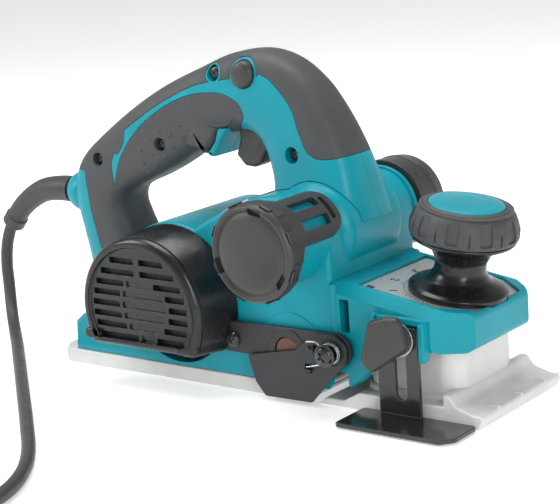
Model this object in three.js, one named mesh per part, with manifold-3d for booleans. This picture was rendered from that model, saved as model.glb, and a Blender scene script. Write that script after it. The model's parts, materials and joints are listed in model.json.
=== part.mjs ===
// Electric hand planer, in millimetres. +X points forward, +Y left and +Z up.
// The origin is the centre of the sole, and z = 0 is the plane that the sole rests on.
import * as THREE from 'three';
import { mergeVertices } from 'three/addons/utils/BufferGeometryUtils.js';
import Module from 'manifold-3d';

const wasm = await Module();
wasm.setup();

// ---------------------------------------------------------------- driving dimensions
const GAP = 0.3; // left between pieces that touch
const RUNNING = 0.4; // between a moving piece and what it moves in

// Sole and body
const SOLE_LENGTH = 292;
const SOLE_WIDTH = 82;
const SOLE_THICKNESS = 8.6;
const RIGHT = -SOLE_WIDTH / 2;
const LEFT = SOLE_WIDTH / 2;
const REAR = -SOLE_LENGTH / 2;
const FRONT = SOLE_LENGTH / 2;
const BODY_FLOOR = SOLE_THICKNESS + GAP;
const BODY_EDGE = 3; // rounding of the body's side edges
const WALL = 3.2;
const TAIL_SETBACK = 13.5; // rear edge of the body, ahead of the sole's

// Cutter drum
const DRUM = { x: 30, z: 28.6 };
const CUT_RADIUS = 28.4;
const DRUM_RADIUS = 26.4;
const DRUM_CLEARANCE = 1.1;
const DRUM_END_GAP = 0.6;
const DRUM_SHAFT = 5;

// Motor
const MOTOR = { x: -50, z: 47 };
const MOTOR_CASE = 45; // radius of the body round the motor
const MOTOR_BORE = 36;
const ROTOR_RADIUS = 21;
const MOTOR_SHAFT = 4;
const VENT_COVER_DEPTH = 25.5;
const VENT_END = { x: -57, z: 45.5, r: 42 }; // outer end of the vent cover
const VENT_FLAT = 24; // height of the vent cover's flat underside
const VENT_WALL = 2.6;

// Belt drive on the left
const BELT_WALL = 4;
const BELT_PLANE = LEFT + 16.5; // middle of the belt
const BELT_WIDTH = 11;
const DRIVE_PULLEY = 11;
const DRIVEN_PULLEY = 18;
const BELT_THICKNESS = 2.2;
const BELT_COVER_DEPTH = 24.5;
const BELT_COVER_WALL = 2.4;

// Chip duct across the body
const DUCT = { x: 35.5, z: 90.2 };
const DUCT_RADIUS = 22.4;
const DUCT_BORE = 19;
const DUCT_SADDLE = 26.8; // the duct's radius under the handle
const DUCT_RIGHT_END = RIGHT - 30;
const DUCT_LEFT_END = LEFT + 5;
const CAP_RADIUS = 26.7;
const CAP_FACE = RIGHT - 39;
const ARM_SCREW = { x: -7, z: 31 };
const CAP_MOUTH = RIGHT - 27.5;
const CAP_ARM_END = RIGHT + 12;
const NOZZLE_LENGTH = 24;

// Front housing, depth knob and front shoe
const TILT = 9.1; // forward lean of the knob's axis, in degrees
const KNOB = { x: 111.2, z: 63.3 }; // on the axis, at the top of the knob's flange
const KNOB_FLANGE = 26.5;
const KNOB_WAIST = 13.75;
const KNOB_HEAD = 29;
const KNOB_CAP = 20;
const KNOB_HEIGHT = 46;
const SPINDLE = 5;
const SHOE_TRAVEL = 4;
const PLATE_TOP = -4.2; // scale plate, along the knob's axis
const PLATE_THICKNESS = 1;
const HOUSING_FRONT = 137;
const SHOE_BOX = { rear: 70, front: 128, right: RIGHT + 10, left: LEFT - 4, top: 44 };

// Handle
const HANDLE_HALF = 18;
const GRIP_THICKNESS = 2.4;
const HANDLE_CORE = 5; // wall of the handle's shells behind the grip
const SCREW_HEAD = 3.7;

// Side guard, depth guide and clamp wing
const PIVOT = { x: 61.5, z: 32.6 };
const ARM_SIDE = RIGHT - 1.4; // inner face of the guard's arm
const ARM_THICKNESS = 3;
const GUARD_THICKNESS = 1.6;
const GUIDE = { rear: 88, front: 113, top: 50.5 };
const GUIDE_THICKNESS = 2.5;
const GUIDE_SIDE = RIGHT - 1.6; // inner face of the depth guide
const WING = { x: 102, z: 44 };

// Mains cord, lying on the floor
const CORD = 7.5;
const FLOOR_CORD = CORD / 2 + 0.05;

// ---------------------------------------------------------------- materials
const paint = (color, roughness, metalness = 0) =>
  new THREE.MeshStandardMaterial({ color, roughness, metalness });
const TEAL = paint(0x0a9fb0, 0.45);
const SOFT = paint(0x4a4c4e, 0.8);
const BLACK = paint(0x1d1f20, 0.4);
const DARK = paint(0x303335, 0.5);
const CAST = paint(0xd6d6d0, 0.5, 0.6);
const STEEL = paint(0x9a9da0, 0.35, 0.9);
const COPPER = paint(0xb56a38, 0.4, 0.8);
const PLATE = paint(0xb9bcbd, 0.35, 0.7);
const CARBON = paint(0x26282a, 0.7);

// ---------------------------------------------------------------- solids
const rad = (degrees) => (degrees * Math.PI) / 180;
const v2 = (x, y) => new THREE.Vector2(x, y);
const v3 = (x, y, z) => new THREE.Vector3(x, y, z);

/** Turns a closed geometry into a manifold solid. */
function solid(geometry) {
  const bare = geometry.clone();
  bare.deleteAttribute('normal');
  bare.deleteAttribute('uv');
  const merged = mergeVertices(bare, 1e-4);
  const index = merged.index.array;
  const triangles = [];
  for (let i = 0; i < index.length; i += 3) {
    const [a, b, c] = [index[i], index[i + 1], index[i + 2]];
    if (a !== b && b !== c && c !== a) triangles.push(a, b, c);
  }
  const mesh = new wasm.Mesh({
    numProp: 3,
    vertProperties: new Float32Array(merged.attributes.position.array),
    triVerts: new Uint32Array(triangles),
  });
  return new wasm.Manifold(mesh);
}

const join = (first, ...rest) => rest.reduce((sum, next) => sum.add(next), first);
const cut = (first, ...rest) => rest.reduce((left, next) => left.subtract(next), first);

/** Points of a circular arc in a side view, from one angle to another, in degrees. */
function arc(centre, radius, from, to, step = 15) {
  const count = Math.max(1, Math.ceil(Math.abs(to - from) / step));
  return Array.from({ length: count + 1 }, (_, i) => {
    const angle = rad(from + ((to - from) * i) / count);
    return v2(centre.x + radius * Math.cos(angle), centre.z + radius * Math.sin(angle));
  });
}

/** An outline through corners [x, y, radius], each rounded by an arc. */
function outline(corners, step = 22.5) {
  const points = corners.map(([x, y]) => v2(x, y));
  return corners.flatMap(([, , radius = 0], i) => {
    const corner = points[i];
    if (radius === 0) return [corner.clone()];
    const before = points.at(i - 1).clone().sub(corner);
    const after = points[(i + 1) % points.length].clone().sub(corner);
    const half = Math.acos(before.clone().normalize().dot(after.clone().normalize())) / 2;
    const reach = 0.49 * Math.min(before.length(), after.length());
    const run = Math.min(radius / Math.tan(half), reach);
    const start = corner.clone().addScaledVector(before.normalize(), run);
    const end = corner.clone().addScaledVector(after.normalize(), run);
    const toCentre = run / Math.cos(half);
    const centre = corner.clone().addScaledVector(before.add(after).normalize(), toCentre);
    const from = start.sub(centre).angle();
    let sweep = end.sub(centre).angle() - from;
    if (sweep > Math.PI) sweep -= 2 * Math.PI;
    if (sweep < -Math.PI) sweep += 2 * Math.PI;
    const count = Math.max(1, Math.ceil(Math.abs(sweep) / rad(step)));
    const size = run * Math.tan(half);
    return Array.from({ length: count + 1 }, (_, k) => {
      const angle = from + (sweep * k) / count;
      return v2(centre.x + size * Math.cos(angle), centre.y + size * Math.sin(angle));
    });
  });
}

/** A side view (x, z) made solid from y = low to y = high, with rounded side edges. */
function alongY(points, low, high, { edge = 0, grow = 0, rings = 2 } = {}) {
  const bevel = Math.max(edge, grow === 0 ? 0 : 0.01);
  const geometry = new THREE.ExtrudeGeometry(new THREE.Shape(points), {
    depth: high - low - 2 * bevel,
    bevelEnabled: bevel > 0,
    bevelThickness: bevel,
    bevelSize: bevel,
    bevelOffset: grow - bevel,
    bevelSegments: rings,
  });
  geometry.rotateX(Math.PI / 2);
  geometry.translate(0, high - bevel, 0);
  return solid(geometry);
}

/** A plan view (x, y) made solid from z = low to z = high. */
function alongZ(points, low, high, edge = 0) {
  const geometry = new THREE.ExtrudeGeometry(new THREE.Shape(points), {
    depth: high - low - 2 * edge,
    bevelEnabled: edge > 0,
    bevelThickness: edge,
    bevelSize: edge,
    bevelOffset: -edge,
    bevelSegments: 1,
  });
  geometry.translate(0, 0, low + edge);
  return solid(geometry);
}

function box(x0, x1, y0, y1, z0, z1) {
  const geometry = new THREE.BoxGeometry(x1 - x0, y1 - y0, z1 - z0);
  geometry.translate((x0 + x1) / 2, (y0 + y1) / 2, (z0 + z1) / 2);
  return solid(geometry);
}

/** A cylinder whose axis runs along Y at a point of the side view. */
function rod(at, radius, low, high, sides = 24) {
  const geometry = new THREE.CylinderGeometry(radius, radius, high - low, sides);
  geometry.translate(at.x, (low + high) / 2, at.z);
  return solid(geometry);
}

/** A turned piece about an axis along Y, from a profile of [radius, y]. */
function turnedY(at, profile, sides = 24) {
  const geometry = new THREE.LatheGeometry(profile.map(([r, y]) => v2(r, y)), sides);
  geometry.translate(at.x, 0, at.z);
  return solid(geometry);
}

/** A turned piece about the Z axis, from a profile of [radius, z]. */
function turnedZ(profile, sides = 24) {
  const geometry = new THREE.LatheGeometry(profile.map(([r, z]) => v2(r, z)), sides);
  geometry.rotateX(Math.PI / 2);
  return solid(geometry);
}

/** A ring about an axis along Y. */
const ringY = (at, inner, outer, low, high, sides = 20) =>
  cut(rod(at, outer, low, high, sides), rod(at, inner, low - 1, high + 1, sides));

/** A round bar along a smooth path. */
function bar(points, radius, steps, sides = 10) {
  const section = Array.from({ length: sides }, (_, i) => {
    const angle = (2 * Math.PI * i) / sides;
    return v2(radius * Math.cos(angle), radius * Math.sin(angle));
  });
  return solid(
    new THREE.ExtrudeGeometry(new THREE.Shape(section), {
      steps,
      extrudePath: new THREE.CatmullRomCurve3(points, false, 'centripetal'),
    }),
  );
}

/** A skin over convex rings of equal count, closed at both ends. */
function loft(rings) {
  const count = rings[0].length;
  const positions = rings.flat().flatMap((p) => [p.x, p.y, p.z]);
  const index = [];
  for (let k = 0; k + 1 < rings.length; k += 1) {
    for (let i = 0; i < count; i += 1) {
      const j = (i + 1) % count;
      const [a, b, c, d] = [k * count + i, k * count + j, (k + 1) * count + j, (k + 1) * count + i];
      index.push(a, b, c, a, c, d);
    }
  }
  const last = (rings.length - 1) * count;
  for (let i = 1; i + 1 < count; i += 1) {
    index.push(0, i + 1, i);
    index.push(last, last + i, last + i + 1);
  }
  const geometry = new THREE.BufferGeometry();
  geometry.setAttribute('position', new THREE.Float32BufferAttribute(positions, 3));
  geometry.setIndex(index);
  const skin = solid(geometry);
  if (skin.volume() > 0) return skin;
  geometry.setIndex(index.reverse());
  return solid(geometry);
}

/** Outline round two circles, joined by their outer tangents. */
function beltOutline(one, r1, two, r2, step = 15) {
  const distance = Math.hypot(two.x - one.x, two.z - one.z);
  const line = (Math.atan2(two.z - one.z, two.x - one.x) * 180) / Math.PI;
  const spread = (Math.acos((r1 - r2) / distance) * 180) / Math.PI;
  return [
    ...arc(one, r1, line + spread, line + 360 - spread, step),
    ...arc(two, r2, line - spread, line + spread, step),
  ];
}

// ---------------------------------------------------------------- placing
const planer = new THREE.Group();
const knobFrame = new THREE.Group();
knobFrame.position.set(KNOB.x, 0, KNOB.z);
knobFrame.rotation.y = rad(TILT);
planer.add(knobFrame);

function place(name, shape, material, group = planer) {
  const { vertProperties, triVerts } = shape.getMesh();
  const geometry = new THREE.BufferGeometry();
  geometry.setAttribute('position', new THREE.BufferAttribute(vertProperties, 3));
  geometry.setIndex(new THREE.BufferAttribute(triVerts, 1));
  geometry.computeVertexNormals();
  const mesh = new THREE.Mesh(geometry, material);
  mesh.name = name;
  group.add(mesh);
}

/** Moves a solid from the knob's own frame to the planer's. */
const fromKnobFrame = (shape) => shape.rotate([0, TILT, 0]).translate([KNOB.x, 0, KNOB.z]);

/** Height of the knob's tilted plane at x, raised by t along the axis. */
const tiltedHeight = (x, t = 0) =>
  KNOB.z + (t - (x - KNOB.x) * Math.sin(rad(TILT))) / Math.cos(rad(TILT));

// ---------------------------------------------------------------- sole
function rearBase() {
  const plan = [
    [REAR, RIGHT + 9],
    [REAR + 6, RIGHT],
    [DRUM.x, RIGHT],
    [DRUM.x, LEFT],
    [REAR + 6, LEFT],
    [REAR, LEFT - 9],
  ];
  const plate = alongZ(outline(plan), 0, SOLE_THICKNESS, 0.8);
  return cut(plate, rod(DRUM, CUT_RADIUS + DRUM_CLEARANCE, RIGHT - 1, LEFT + 1, 48));
}

function frontBase() {
  const lip = [
    [DRUM.x, 0],
    [FRONT - 1, 0, 1],
    [FRONT + 1.5, 4, 2],
    [FRONT + 1.5, 7.4, 1.5],
    [FRONT - 4, 7.2],
    [SHOE_BOX.front + 2, 9.5],
    [72, 9.5],
    [62, 4.2],
    [DRUM.x, 4.2],
  ];
  const sole = alongY(outline(lip), RIGHT, LEFT, { edge: 0.8, rings: 1 });
  const { rear, front, right, left, top } = SHOE_BOX;
  const plan = (inset, radius) =>
    outline([
      [rear + inset, right + inset, radius],
      [front - inset, right + inset, radius],
      [front - inset, left - inset, radius],
      [rear + inset, left - inset, radius],
    ]);
  const casting = alongZ(plan(0, 11), 4, top, 1);
  const pocket = alongZ(plan(4, 7), 12, top + 5);
  const boss = fromKnobFrame(turnedZ([[0, -53], [10, -53], [10, -22], [0, -22]], 24));
  const bore = fromKnobFrame(turnedZ([[0, -70], [SPINDLE + RUNNING, -70], [SPINDLE + RUNNING, 0],
    [0, 0]], 24));
  const lean = { x: Math.sin(rad(TILT)) * SHOE_TRAVEL, z: Math.cos(rad(TILT)) * SHOE_TRAVEL };
  const raised = { x: DRUM.x - lean.x, z: DRUM.z - lean.z };
  const body = join(cut(join(sole, casting), pocket), boss);
  return cut(
    body,
    bore,
    rod(DRUM, CUT_RADIUS + DRUM_CLEARANCE, RIGHT - 1, LEFT + 1, 48),
    rod(raised, CUT_RADIUS + DRUM_CLEARANCE, RIGHT - 1, LEFT + 1, 48),
    box(-60, DRUM.x + 4, RIGHT - 1, LEFT + 1, -1, 20),
  );
}

// ---------------------------------------------------------------- body
/** Side view of the body: tail, motor barrel, chip chamber and front housing. */
function bodyProfile() {
  const tail = REAR + TAIL_SETBACK;
  const frontTop = tiltedHeight(HOUSING_FRONT - 0.5, PLATE_TOP + 1.6);
  const corners = outline([
    [tail, BODY_FLOOR],
    [62.2, BODY_FLOOR],
    [76, 17],
    [97, 37.5],
    [HOUSING_FRONT, 36, 4],
    [HOUSING_FRONT, frontTop, 5],
    [DUCT.x + DUCT_RADIUS, tiltedHeight(DUCT.x + DUCT_RADIUS, PLATE_TOP + 1.6)],
  ]);
  return [
    ...corners,
    ...arc(DUCT, DUCT_RADIUS, 0, 100),
    v2(4, 108),
    v2(-14, 100.5),
    ...arc(MOTOR, MOTOR_CASE, 70, 180),
    v2(MOTOR.x - MOTOR_CASE, 34),
    v2(tail + 7, 30.5),
    v2(tail + 1.3, 26),
  ];
}

const saddleProfile = (gap) => [
  [0, RIGHT + 8.5 - gap],
  [DUCT_RADIUS + gap, RIGHT + 8.5 - gap],
  [DUCT_RADIUS + gap, RIGHT + 13.5],
  [DUCT_SADDLE + gap, RIGHT + 18],
  [DUCT_SADDLE + gap, LEFT - 18],
  [DUCT_RADIUS + gap, LEFT - 13.5],
  [DUCT_RADIUS + gap, LEFT - 8.5 + gap],
  [0, LEFT - 8.5 + gap],
];

/** Outside of the body; a gap makes it the cutter for what fits against it. */
function bodyEnvelope(gap = 0) {
  return join(
    alongY(bodyProfile(), RIGHT - gap, LEFT + gap, { edge: BODY_EDGE, grow: gap }),
    turnedY(DUCT, saddleProfile(gap)),
  );
}

function mainHousing() {
  const wallOutline = beltOutline(MOTOR, MOTOR_CASE - 3, DRUM, DRUM.z - BODY_FLOOR);
  const inner = { low: RIGHT - 1, high: LEFT - DRUM_END_GAP + 0.6 };
  const outside = join(
    bodyEnvelope(),
    rod(DUCT, DUCT_RADIUS, DUCT_RIGHT_END, DUCT_LEFT_END),
    cut(alongY(wallOutline, LEFT - 4, LEFT + BELT_WALL), box(-200, 200, LEFT - 9, LEFT + 9, -20, BODY_FLOOR)),
    rod(MOTOR, 14.5, LEFT, LEFT + BELT_WALL + 4, 24),
    rod(DRUM, 16.5, LEFT, LEFT + BELT_WALL + 4, 24),
    guideRails(),
  );
  const drumTunnel = rod(DRUM, CUT_RADIUS + DRUM_CLEARANCE, inner.low, inner.high, 40);
  const mouth = box(DRUM.x, 66, inner.low, inner.high, BODY_FLOOR - 1, 20);
  const chamber = alongY([v2(16, 48), v2(48, 48), v2(51, 88), v2(20, 88)], RIGHT + 5, LEFT - 5);
  const shoeRoom = alongY(
    [
      v2(SHOE_BOX.rear - 4.5, 0),
      v2(HOUSING_FRONT - WALL, 0),
      v2(HOUSING_FRONT - WALL, tiltedHeight(HOUSING_FRONT - WALL, -9.5)),
      v2(SHOE_BOX.rear - 4.5, tiltedHeight(SHOE_BOX.rear - 4.5, -9.5)),
    ],
    RIGHT + WALL,
    LEFT - WALL,
  );
  const body = cut(
    outside,
    rod(MOTOR, MOTOR_BORE, RIGHT - 1, LEFT - 3, 32),
    drumTunnel,
    mouth,
    chamber,
    rod(DUCT, DUCT_BORE, DUCT_RIGHT_END - 1, DUCT_LEFT_END + 1),
    shoeRoom,
    fromKnobFrame(box(-41.5, 24.5, RIGHT + 7.5, LEFT - 7.5, PLATE_TOP - PLATE_THICKNESS - GAP, 6)),
    fromKnobFrame(turnedZ([[0, -30], [SPINDLE + RUNNING, -30], [SPINDLE + RUNNING, 2], [0, 2]], 24)),
    fromKnobFrame(turnedZ([[0, -4.2], [KNOB_FLANGE + 0.6, -4.2], [KNOB_FLANGE + 0.6, 6], [0, 6]], 32)),
    box(62.7, 68.6, RIGHT - 1, RIGHT + 3, 42, 60),
    rod(MOTOR, 11.1, LEFT + 0.4, LEFT + BELT_WALL + 5, 24),
    rod(MOTOR, MOTOR_SHAFT + 3, LEFT - 5, LEFT + 2, 24),
    rod(DRUM, 13.1, LEFT - 1, LEFT + BELT_WALL + 5, 24),
    rod(ARM_SCREW, 2.4, RIGHT - 1, RIGHT + 9, 12),
    rod(WING, 3.2, RIGHT - 6, RIGHT + 9, 12),
  );
  return join(body, drumEndWall());
}

/** Round boss that closes the drum's tunnel, behind the guard's arm. */
function drumEndWall() {
  const wall = rod(DRUM, CUT_RADIUS + DRUM_CLEARANCE + 2, RIGHT - 1.1, RIGHT + 0.2, 40);
  return cut(wall, rod(DRUM, 10, RIGHT - 2, RIGHT + 1, 24),
    box(-20, 80, RIGHT - 2, RIGHT + 1, -10, BODY_FLOOR + 0.1));
}

/** Two rails that the depth guide slides between, with the ridge behind it. */
function guideRails() {
  const low = RIGHT - 4.6;
  const rail = (x, z0, z1) => box(x, x + 3, low, RIGHT + 1, z0, z1);
  return join(
    rail(GUIDE.rear - 3 - RUNNING, 40, 55),
    rail(GUIDE.front + RUNNING, 33, 52),
    box(GUIDE.rear - 1, GUIDE.front + 2, RIGHT - 1.1, RIGHT + 1, 51.5, 54),
  );
}

function scalePlate() {
  const low = PLATE_TOP - PLATE_THICKNESS;
  const plate = box(-41.2, 24.2, RIGHT + 7.8, LEFT - 7.8, low, PLATE_TOP);
  return cut(plate, turnedZ([[0, -20], [9, -20], [9, 5], [0, 5]], 24));
}

function nameplate() {
  const points = [v2(-29, 94.7), v2(-14.4, 100.9), v2(-3, 105.6), v2(-3.5, 106.9), v2(-14.8, 102.1),
    v2(-29.6, 96)];
  return alongY(points, -20, 24);
}

// ---------------------------------------------------------------- vent cover and belt cover
/** D-shaped section of the vent cover at a share of its depth, from body to rim. */
function ventRing(share, y, inset = 0) {
  const at = {
    x: THREE.MathUtils.lerp(MOTOR.x, VENT_END.x, share),
    z: THREE.MathUtils.lerp(MOTOR.z, VENT_END.z, share),
  };
  const radius = THREE.MathUtils.lerp(MOTOR_CASE - 0.6, VENT_END.r, share) - inset;
  const dip = (Math.asin((at.z - VENT_FLAT - inset) / radius) * 180) / Math.PI;
  const steps = 18;
  return Array.from({ length: steps + 1 }, (_, i) => {
    const angle = rad(-dip + ((180 + 2 * dip) * i) / steps);
    return v3(at.x + radius * Math.cos(angle), y, at.z + radius * Math.sin(angle));
  });
}

function ventCover() {
  const mouth = RIGHT - GAP;
  const rim = RIGHT - VENT_COVER_DEPTH;
  const shell = loft([ventRing(0, mouth), ventRing(0.94, rim + 1.5), ventRing(1, rim, 1.2)]);
  const hollow = loft([
    ventRing(0, mouth + 1, VENT_WALL),
    ventRing(0.9, rim + VENT_WALL, VENT_WALL),
  ]);
  const seat = rod(MOTOR, 14, rim + 1, rim + 13, 24);
  const lugs = join(
    alongY(outline([[-30, 23], [-22, 23, 2], [-16, 30, 4], [-20, 38, 4], [-32, 38]]), rim - 2, mouth,
      { edge: 1.5 }),
    alongY(outline([[-98, 27], [-98, 33], [-87, 33], [-87, 27]], 1), rim - 1, mouth),
  );
  const notch = box(-16 - GAP, 10, RIGHT - 8, RIGHT + 1, 10, 41 + GAP);
  const notchWall = shell.intersect(box(-19, 10, RIGHT - 10.6, mouth, 10, 44));
  let cover = cut(join(cut(join(shell, lugs), hollow), seat, notchWall), notch);
  cover = cut(cover, rod(MOTOR, 11.1, rim + 3, rim + 14, 24));
  const rows = 6;
  const pitch = 8.4;
  for (let i = 0; i < rows; i += 1) {
    const z = VENT_FLAT + 6 + i * pitch;
    const half = Math.sqrt(Math.max(0, (VENT_END.r - 9) ** 2 - (z - VENT_END.z) ** 2));
    const solidHalf = i === 0 || i > rows - 3 ? 1.5 : 11;
    for (const side of [-1, 1]) {
      const x0 = VENT_END.x + side * solidHalf;
      const x1 = VENT_END.x + side * half;
      const slot = box(Math.min(x0, x1), Math.max(x0, x1), rim - 3, rim + VENT_WALL + 1, z - 1.6, z + 1.6);
      cover = cut(cover, cut(slot, rod(MOTOR, 14.5, rim - 4, rim + 20, 16)));
    }
  }
  return cover;
}

function beltCover() {
  const low = LEFT + BELT_WALL + GAP;
  const high = LEFT + BELT_WALL + BELT_COVER_DEPTH;
  const round = (inset) => beltOutline(MOTOR, 30 - inset, DRUM, DRUM.z - 3 - inset);
  return cut(
    alongY(round(0), low - 3, high, { edge: 3 }),
    alongY(round(BELT_COVER_WALL), low - 5, high - BELT_COVER_WALL),
    box(-200, 200, low - 20, low, -50, 150),
  );
}

// ---------------------------------------------------------------- chip duct
function ductNozzle() {
  const low = DUCT_LEFT_END + GAP;
  const high = low + NOZZLE_LENGTH;
  const profile = [
    [DUCT_BORE + 0.5, low],
    [26, low],
    [26, high - 8],
    [25, high],
    [21.5, high],
    [DUCT_BORE + 0.5, high - 6],
    [DUCT_BORE + 0.5, low],
  ];
  return turnedY(DUCT, profile);
}

function ductCap() {
  const inner = DUCT_RADIUS + RUNNING;
  const cup = turnedY(
    DUCT,
    [
      [0, CAP_FACE],
      [16, CAP_FACE + 0.6],
      [22.5, CAP_FACE + 2.2],
      [24.5, CAP_FACE + 1.2],
      [CAP_RADIUS, CAP_FACE + 3],
      [CAP_RADIUS, CAP_MOUTH],
      [inner, CAP_MOUTH],
      [inner, CAP_FACE + 6],
      [0, CAP_FACE + 6],
    ],
    32,
  );
  const armOuter = inner + 3;
  const wedge = (from, to) => [v2(DUCT.x, DUCT.z), ...arc(DUCT, 40, from, to, 30)];
  const sleeve = ringY(DUCT, inner, armOuter, CAP_MOUTH - 4, CAP_ARM_END, 32);
  const sector = alongY(wedge(12, 74), CAP_MOUTH - 4, CAP_ARM_END);
  let arm = sleeve.intersect(sector);
  for (const [from, to] of [[23, 37], [49, 63]]) {
    arm = cut(arm, alongY(wedge(from, to), CAP_MOUTH + 7, CAP_ARM_END - 9.5));
  }
  arm = cut(arm, alongY(wedge(26, 60), CAP_ARM_END - 7.4, CAP_ARM_END - 3.8));
  let cap = join(cup, arm);
  for (const angle of [80, 200, 325]) {
    const at = { x: DUCT.x + 24 * Math.cos(rad(angle)), z: DUCT.z + 24 * Math.sin(rad(angle)) };
    cap = cut(cap, rod(at, 2.2, CAP_FACE - 1, CAP_FACE + 4.5, 8));
  }
  return cap;
}

// ---------------------------------------------------------------- depth knob, in its own frame
const KNOB_HOLE = [[0, -40], [SPINDLE + GAP, -40], [SPINDLE + GAP, 26], [0, 26]];

function knobBody() {
  const profile = [
    [0, -3.7],
    [KNOB_FLANGE, -3.7],
    [KNOB_FLANGE, -1],
    [KNOB_FLANGE - 2, 0.3],
    [17, 3.5],
    [KNOB_WAIST, 8],
    [KNOB_WAIST, 14],
    [16, 19],
    [22, 23.5],
    [24.5, 25.5],
    [24.5, 40],
    [0, 40],
  ];
  return cut(turnedZ(profile), turnedZ(KNOB_HOLE, 16));
}

function knobGrip() {
  const inner = 24.5 + GAP;
  const profile = [[inner, 26], [26.5, 26], [KNOB_HEAD, 30], [KNOB_HEAD, 37], [26.5, 42.5],
    [inner, 43.5], [inner, 26]];
  return turnedZ(profile);
}

function knobCap() {
  const profile = [[0, 40 + GAP], [24.5, 40 + GAP], [24.5, 43.6], [KNOB_CAP, 44.4],
    [12, KNOB_HEIGHT - 0.4], [0, KNOB_HEIGHT]];
  return turnedZ(profile);
}

const knobSpindle = () => turnedZ([[0, -49], [SPINDLE, -49], [SPINDLE, 25.5], [0, 25.5]], 20);

// ---------------------------------------------------------------- cutter drum and belt drive
function drum() {
  const end = LEFT - DRUM_END_GAP;
  const turned = [
    [0, RIGHT - 5],
    [4, RIGHT - 5],
    [4, RIGHT + 0.2],
    [9, RIGHT + 0.2],
    [9, RIGHT + DRUM_END_GAP],
    [DRUM_RADIUS, RIGHT + DRUM_END_GAP],
    [DRUM_RADIUS, end],
    [DRUM_SHAFT, end],
    [DRUM_SHAFT, LEFT + 22],
    [0, LEFT + 22],
  ];
  let shape = turnedY(DRUM, turned, 32);
  for (const side of [1, -1]) {
    shape = cut(shape, drumTurn(box(-3, 12, RIGHT - 1, LEFT + 1, 15, 40), side));
  }
  return shape;
}

/** Puts a piece, made about the drum's axis, on one side of the drum. */
const drumTurn = (shape, side) =>
  shape.rotate([0, side > 0 ? 155 : 335, 0]).translate([DRUM.x, 0, DRUM.z]);

function blade(side) {
  const points = [v2(-2.6, 15.4), v2(0.2, 15.4), v2(0.2, CUT_RADIUS - 1.2), v2(-0.6, CUT_RADIUS - 0.1),
    v2(-2.6, CUT_RADIUS - 1.6)];
  return drumTurn(alongY(points, RIGHT + 1, LEFT - 1), side);
}

function bladeClamp(side) {
  const points = [v2(0.6, 15.4), v2(11.6, 15.4), v2(11.6, 22.5), v2(7, 24.8), v2(0.6, 25.8)];
  return drumTurn(alongY(points, RIGHT + 1.5, LEFT - 1.5), side);
}

function pulley(at, radius, bore) {
  const half = BELT_WIDTH / 2;
  const profile = [
    [bore + 0.2, BELT_PLANE - half - 2],
    [radius + 1.6, BELT_PLANE - half - 2],
    [radius + 1.6, BELT_PLANE - half - 0.6],
    [radius, BELT_PLANE - half - 0.6],
    [radius, BELT_PLANE + half + 0.6],
    [radius + 1.6, BELT_PLANE + half + 0.6],
    [radius + 1.6, BELT_PLANE + half + 2],
    [bore + 0.2, BELT_PLANE + half + 2],
    [bore + 0.2, BELT_PLANE - half - 2],
  ];
  return turnedY(at, profile, 20);
}

function driveBelt() {
  const low = BELT_PLANE - BELT_WIDTH / 2;
  const high = BELT_PLANE + BELT_WIDTH / 2;
  const loop = (r) => beltOutline(MOTOR, DRIVE_PULLEY + r, DRUM, DRIVEN_PULLEY + r, 20);
  return cut(alongY(loop(GAP + BELT_THICKNESS), low, high), alongY(loop(GAP), low - 1, high + 1));
}

// ---------------------------------------------------------------- motor
const motorShaft = () => rod(MOTOR, MOTOR_SHAFT, RIGHT - 21, LEFT + 23, 20);

function armatureCore() {
  const low = -18;
  const high = 22;
  let core = ringY(MOTOR, MOTOR_SHAFT + 0.2, ROTOR_RADIUS, low, high, 24);
  for (let i = 0; i < 12; i += 1) {
    const angle = (2 * Math.PI * i) / 12;
    const at = { x: MOTOR.x + (ROTOR_RADIUS - 0.4) * Math.cos(angle),
      z: MOTOR.z + (ROTOR_RADIUS - 0.4) * Math.sin(angle) };
    core = cut(core, rod(at, 1.9, low - 1, high + 1, 6));
  }
  return core;
}

function fan() {
  let wheel = ringY(MOTOR, MOTOR_SHAFT + 0.2, MOTOR_BORE - 4, 28, 30, 24);
  wheel = join(wheel, ringY(MOTOR, MOTOR_SHAFT + 0.2, 9, 28, 36, 16));
  for (let i = 0; i < 9; i += 1) {
    const vane = box(12, MOTOR_BORE - 4.5, -0.8, 0.8, -0.1, 6).rotate([90, (360 / 9) * i, 0]);
    wheel = join(wheel, vane.translate([MOTOR.x, 36, MOTOR.z]));
  }
  return wheel;
}

const brushSpan = { low: RIGHT + 4.5, high: RIGHT + 13.5 };

function brushHolder(side) {
  const { low, high } = brushSpan;
  const sleeve = box(14, MOTOR_BORE - 1.5, low, high, -5, 5);
  const bore = box(13, MOTOR_BORE - 3, low + 1.6, high - 1.6, -3.4, 3.4);
  return cut(sleeve, bore).rotate([0, side > 0 ? -90 : 90, 0]).translate([MOTOR.x, 0, MOTOR.z]);
}

function carbonBrush(side) {
  const { low, high } = brushSpan;
  const block = box(12.4, 28, low + 1.8, high - 1.8, -3.2, 3.2);
  return block.rotate([0, side > 0 ? -90 : 90, 0]).translate([MOTOR.x, 0, MOTOR.z]);
}

function stator() {
  const ring = ringY(MOTOR, MOTOR_BORE - 7, MOTOR_BORE - GAP, -20, 24, 32);
  const poles = box(-MOTOR_BORE, MOTOR_BORE, -18, 22, -12, 12).translate([MOTOR.x, 0, MOTOR.z]);
  const laminations = poles.intersect(rod(MOTOR, MOTOR_BORE - 2, -20, 24, 24));
  return cut(join(ring, laminations), rod(MOTOR, ROTOR_RADIUS + 0.8, -21, 25, 24));
}

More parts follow.
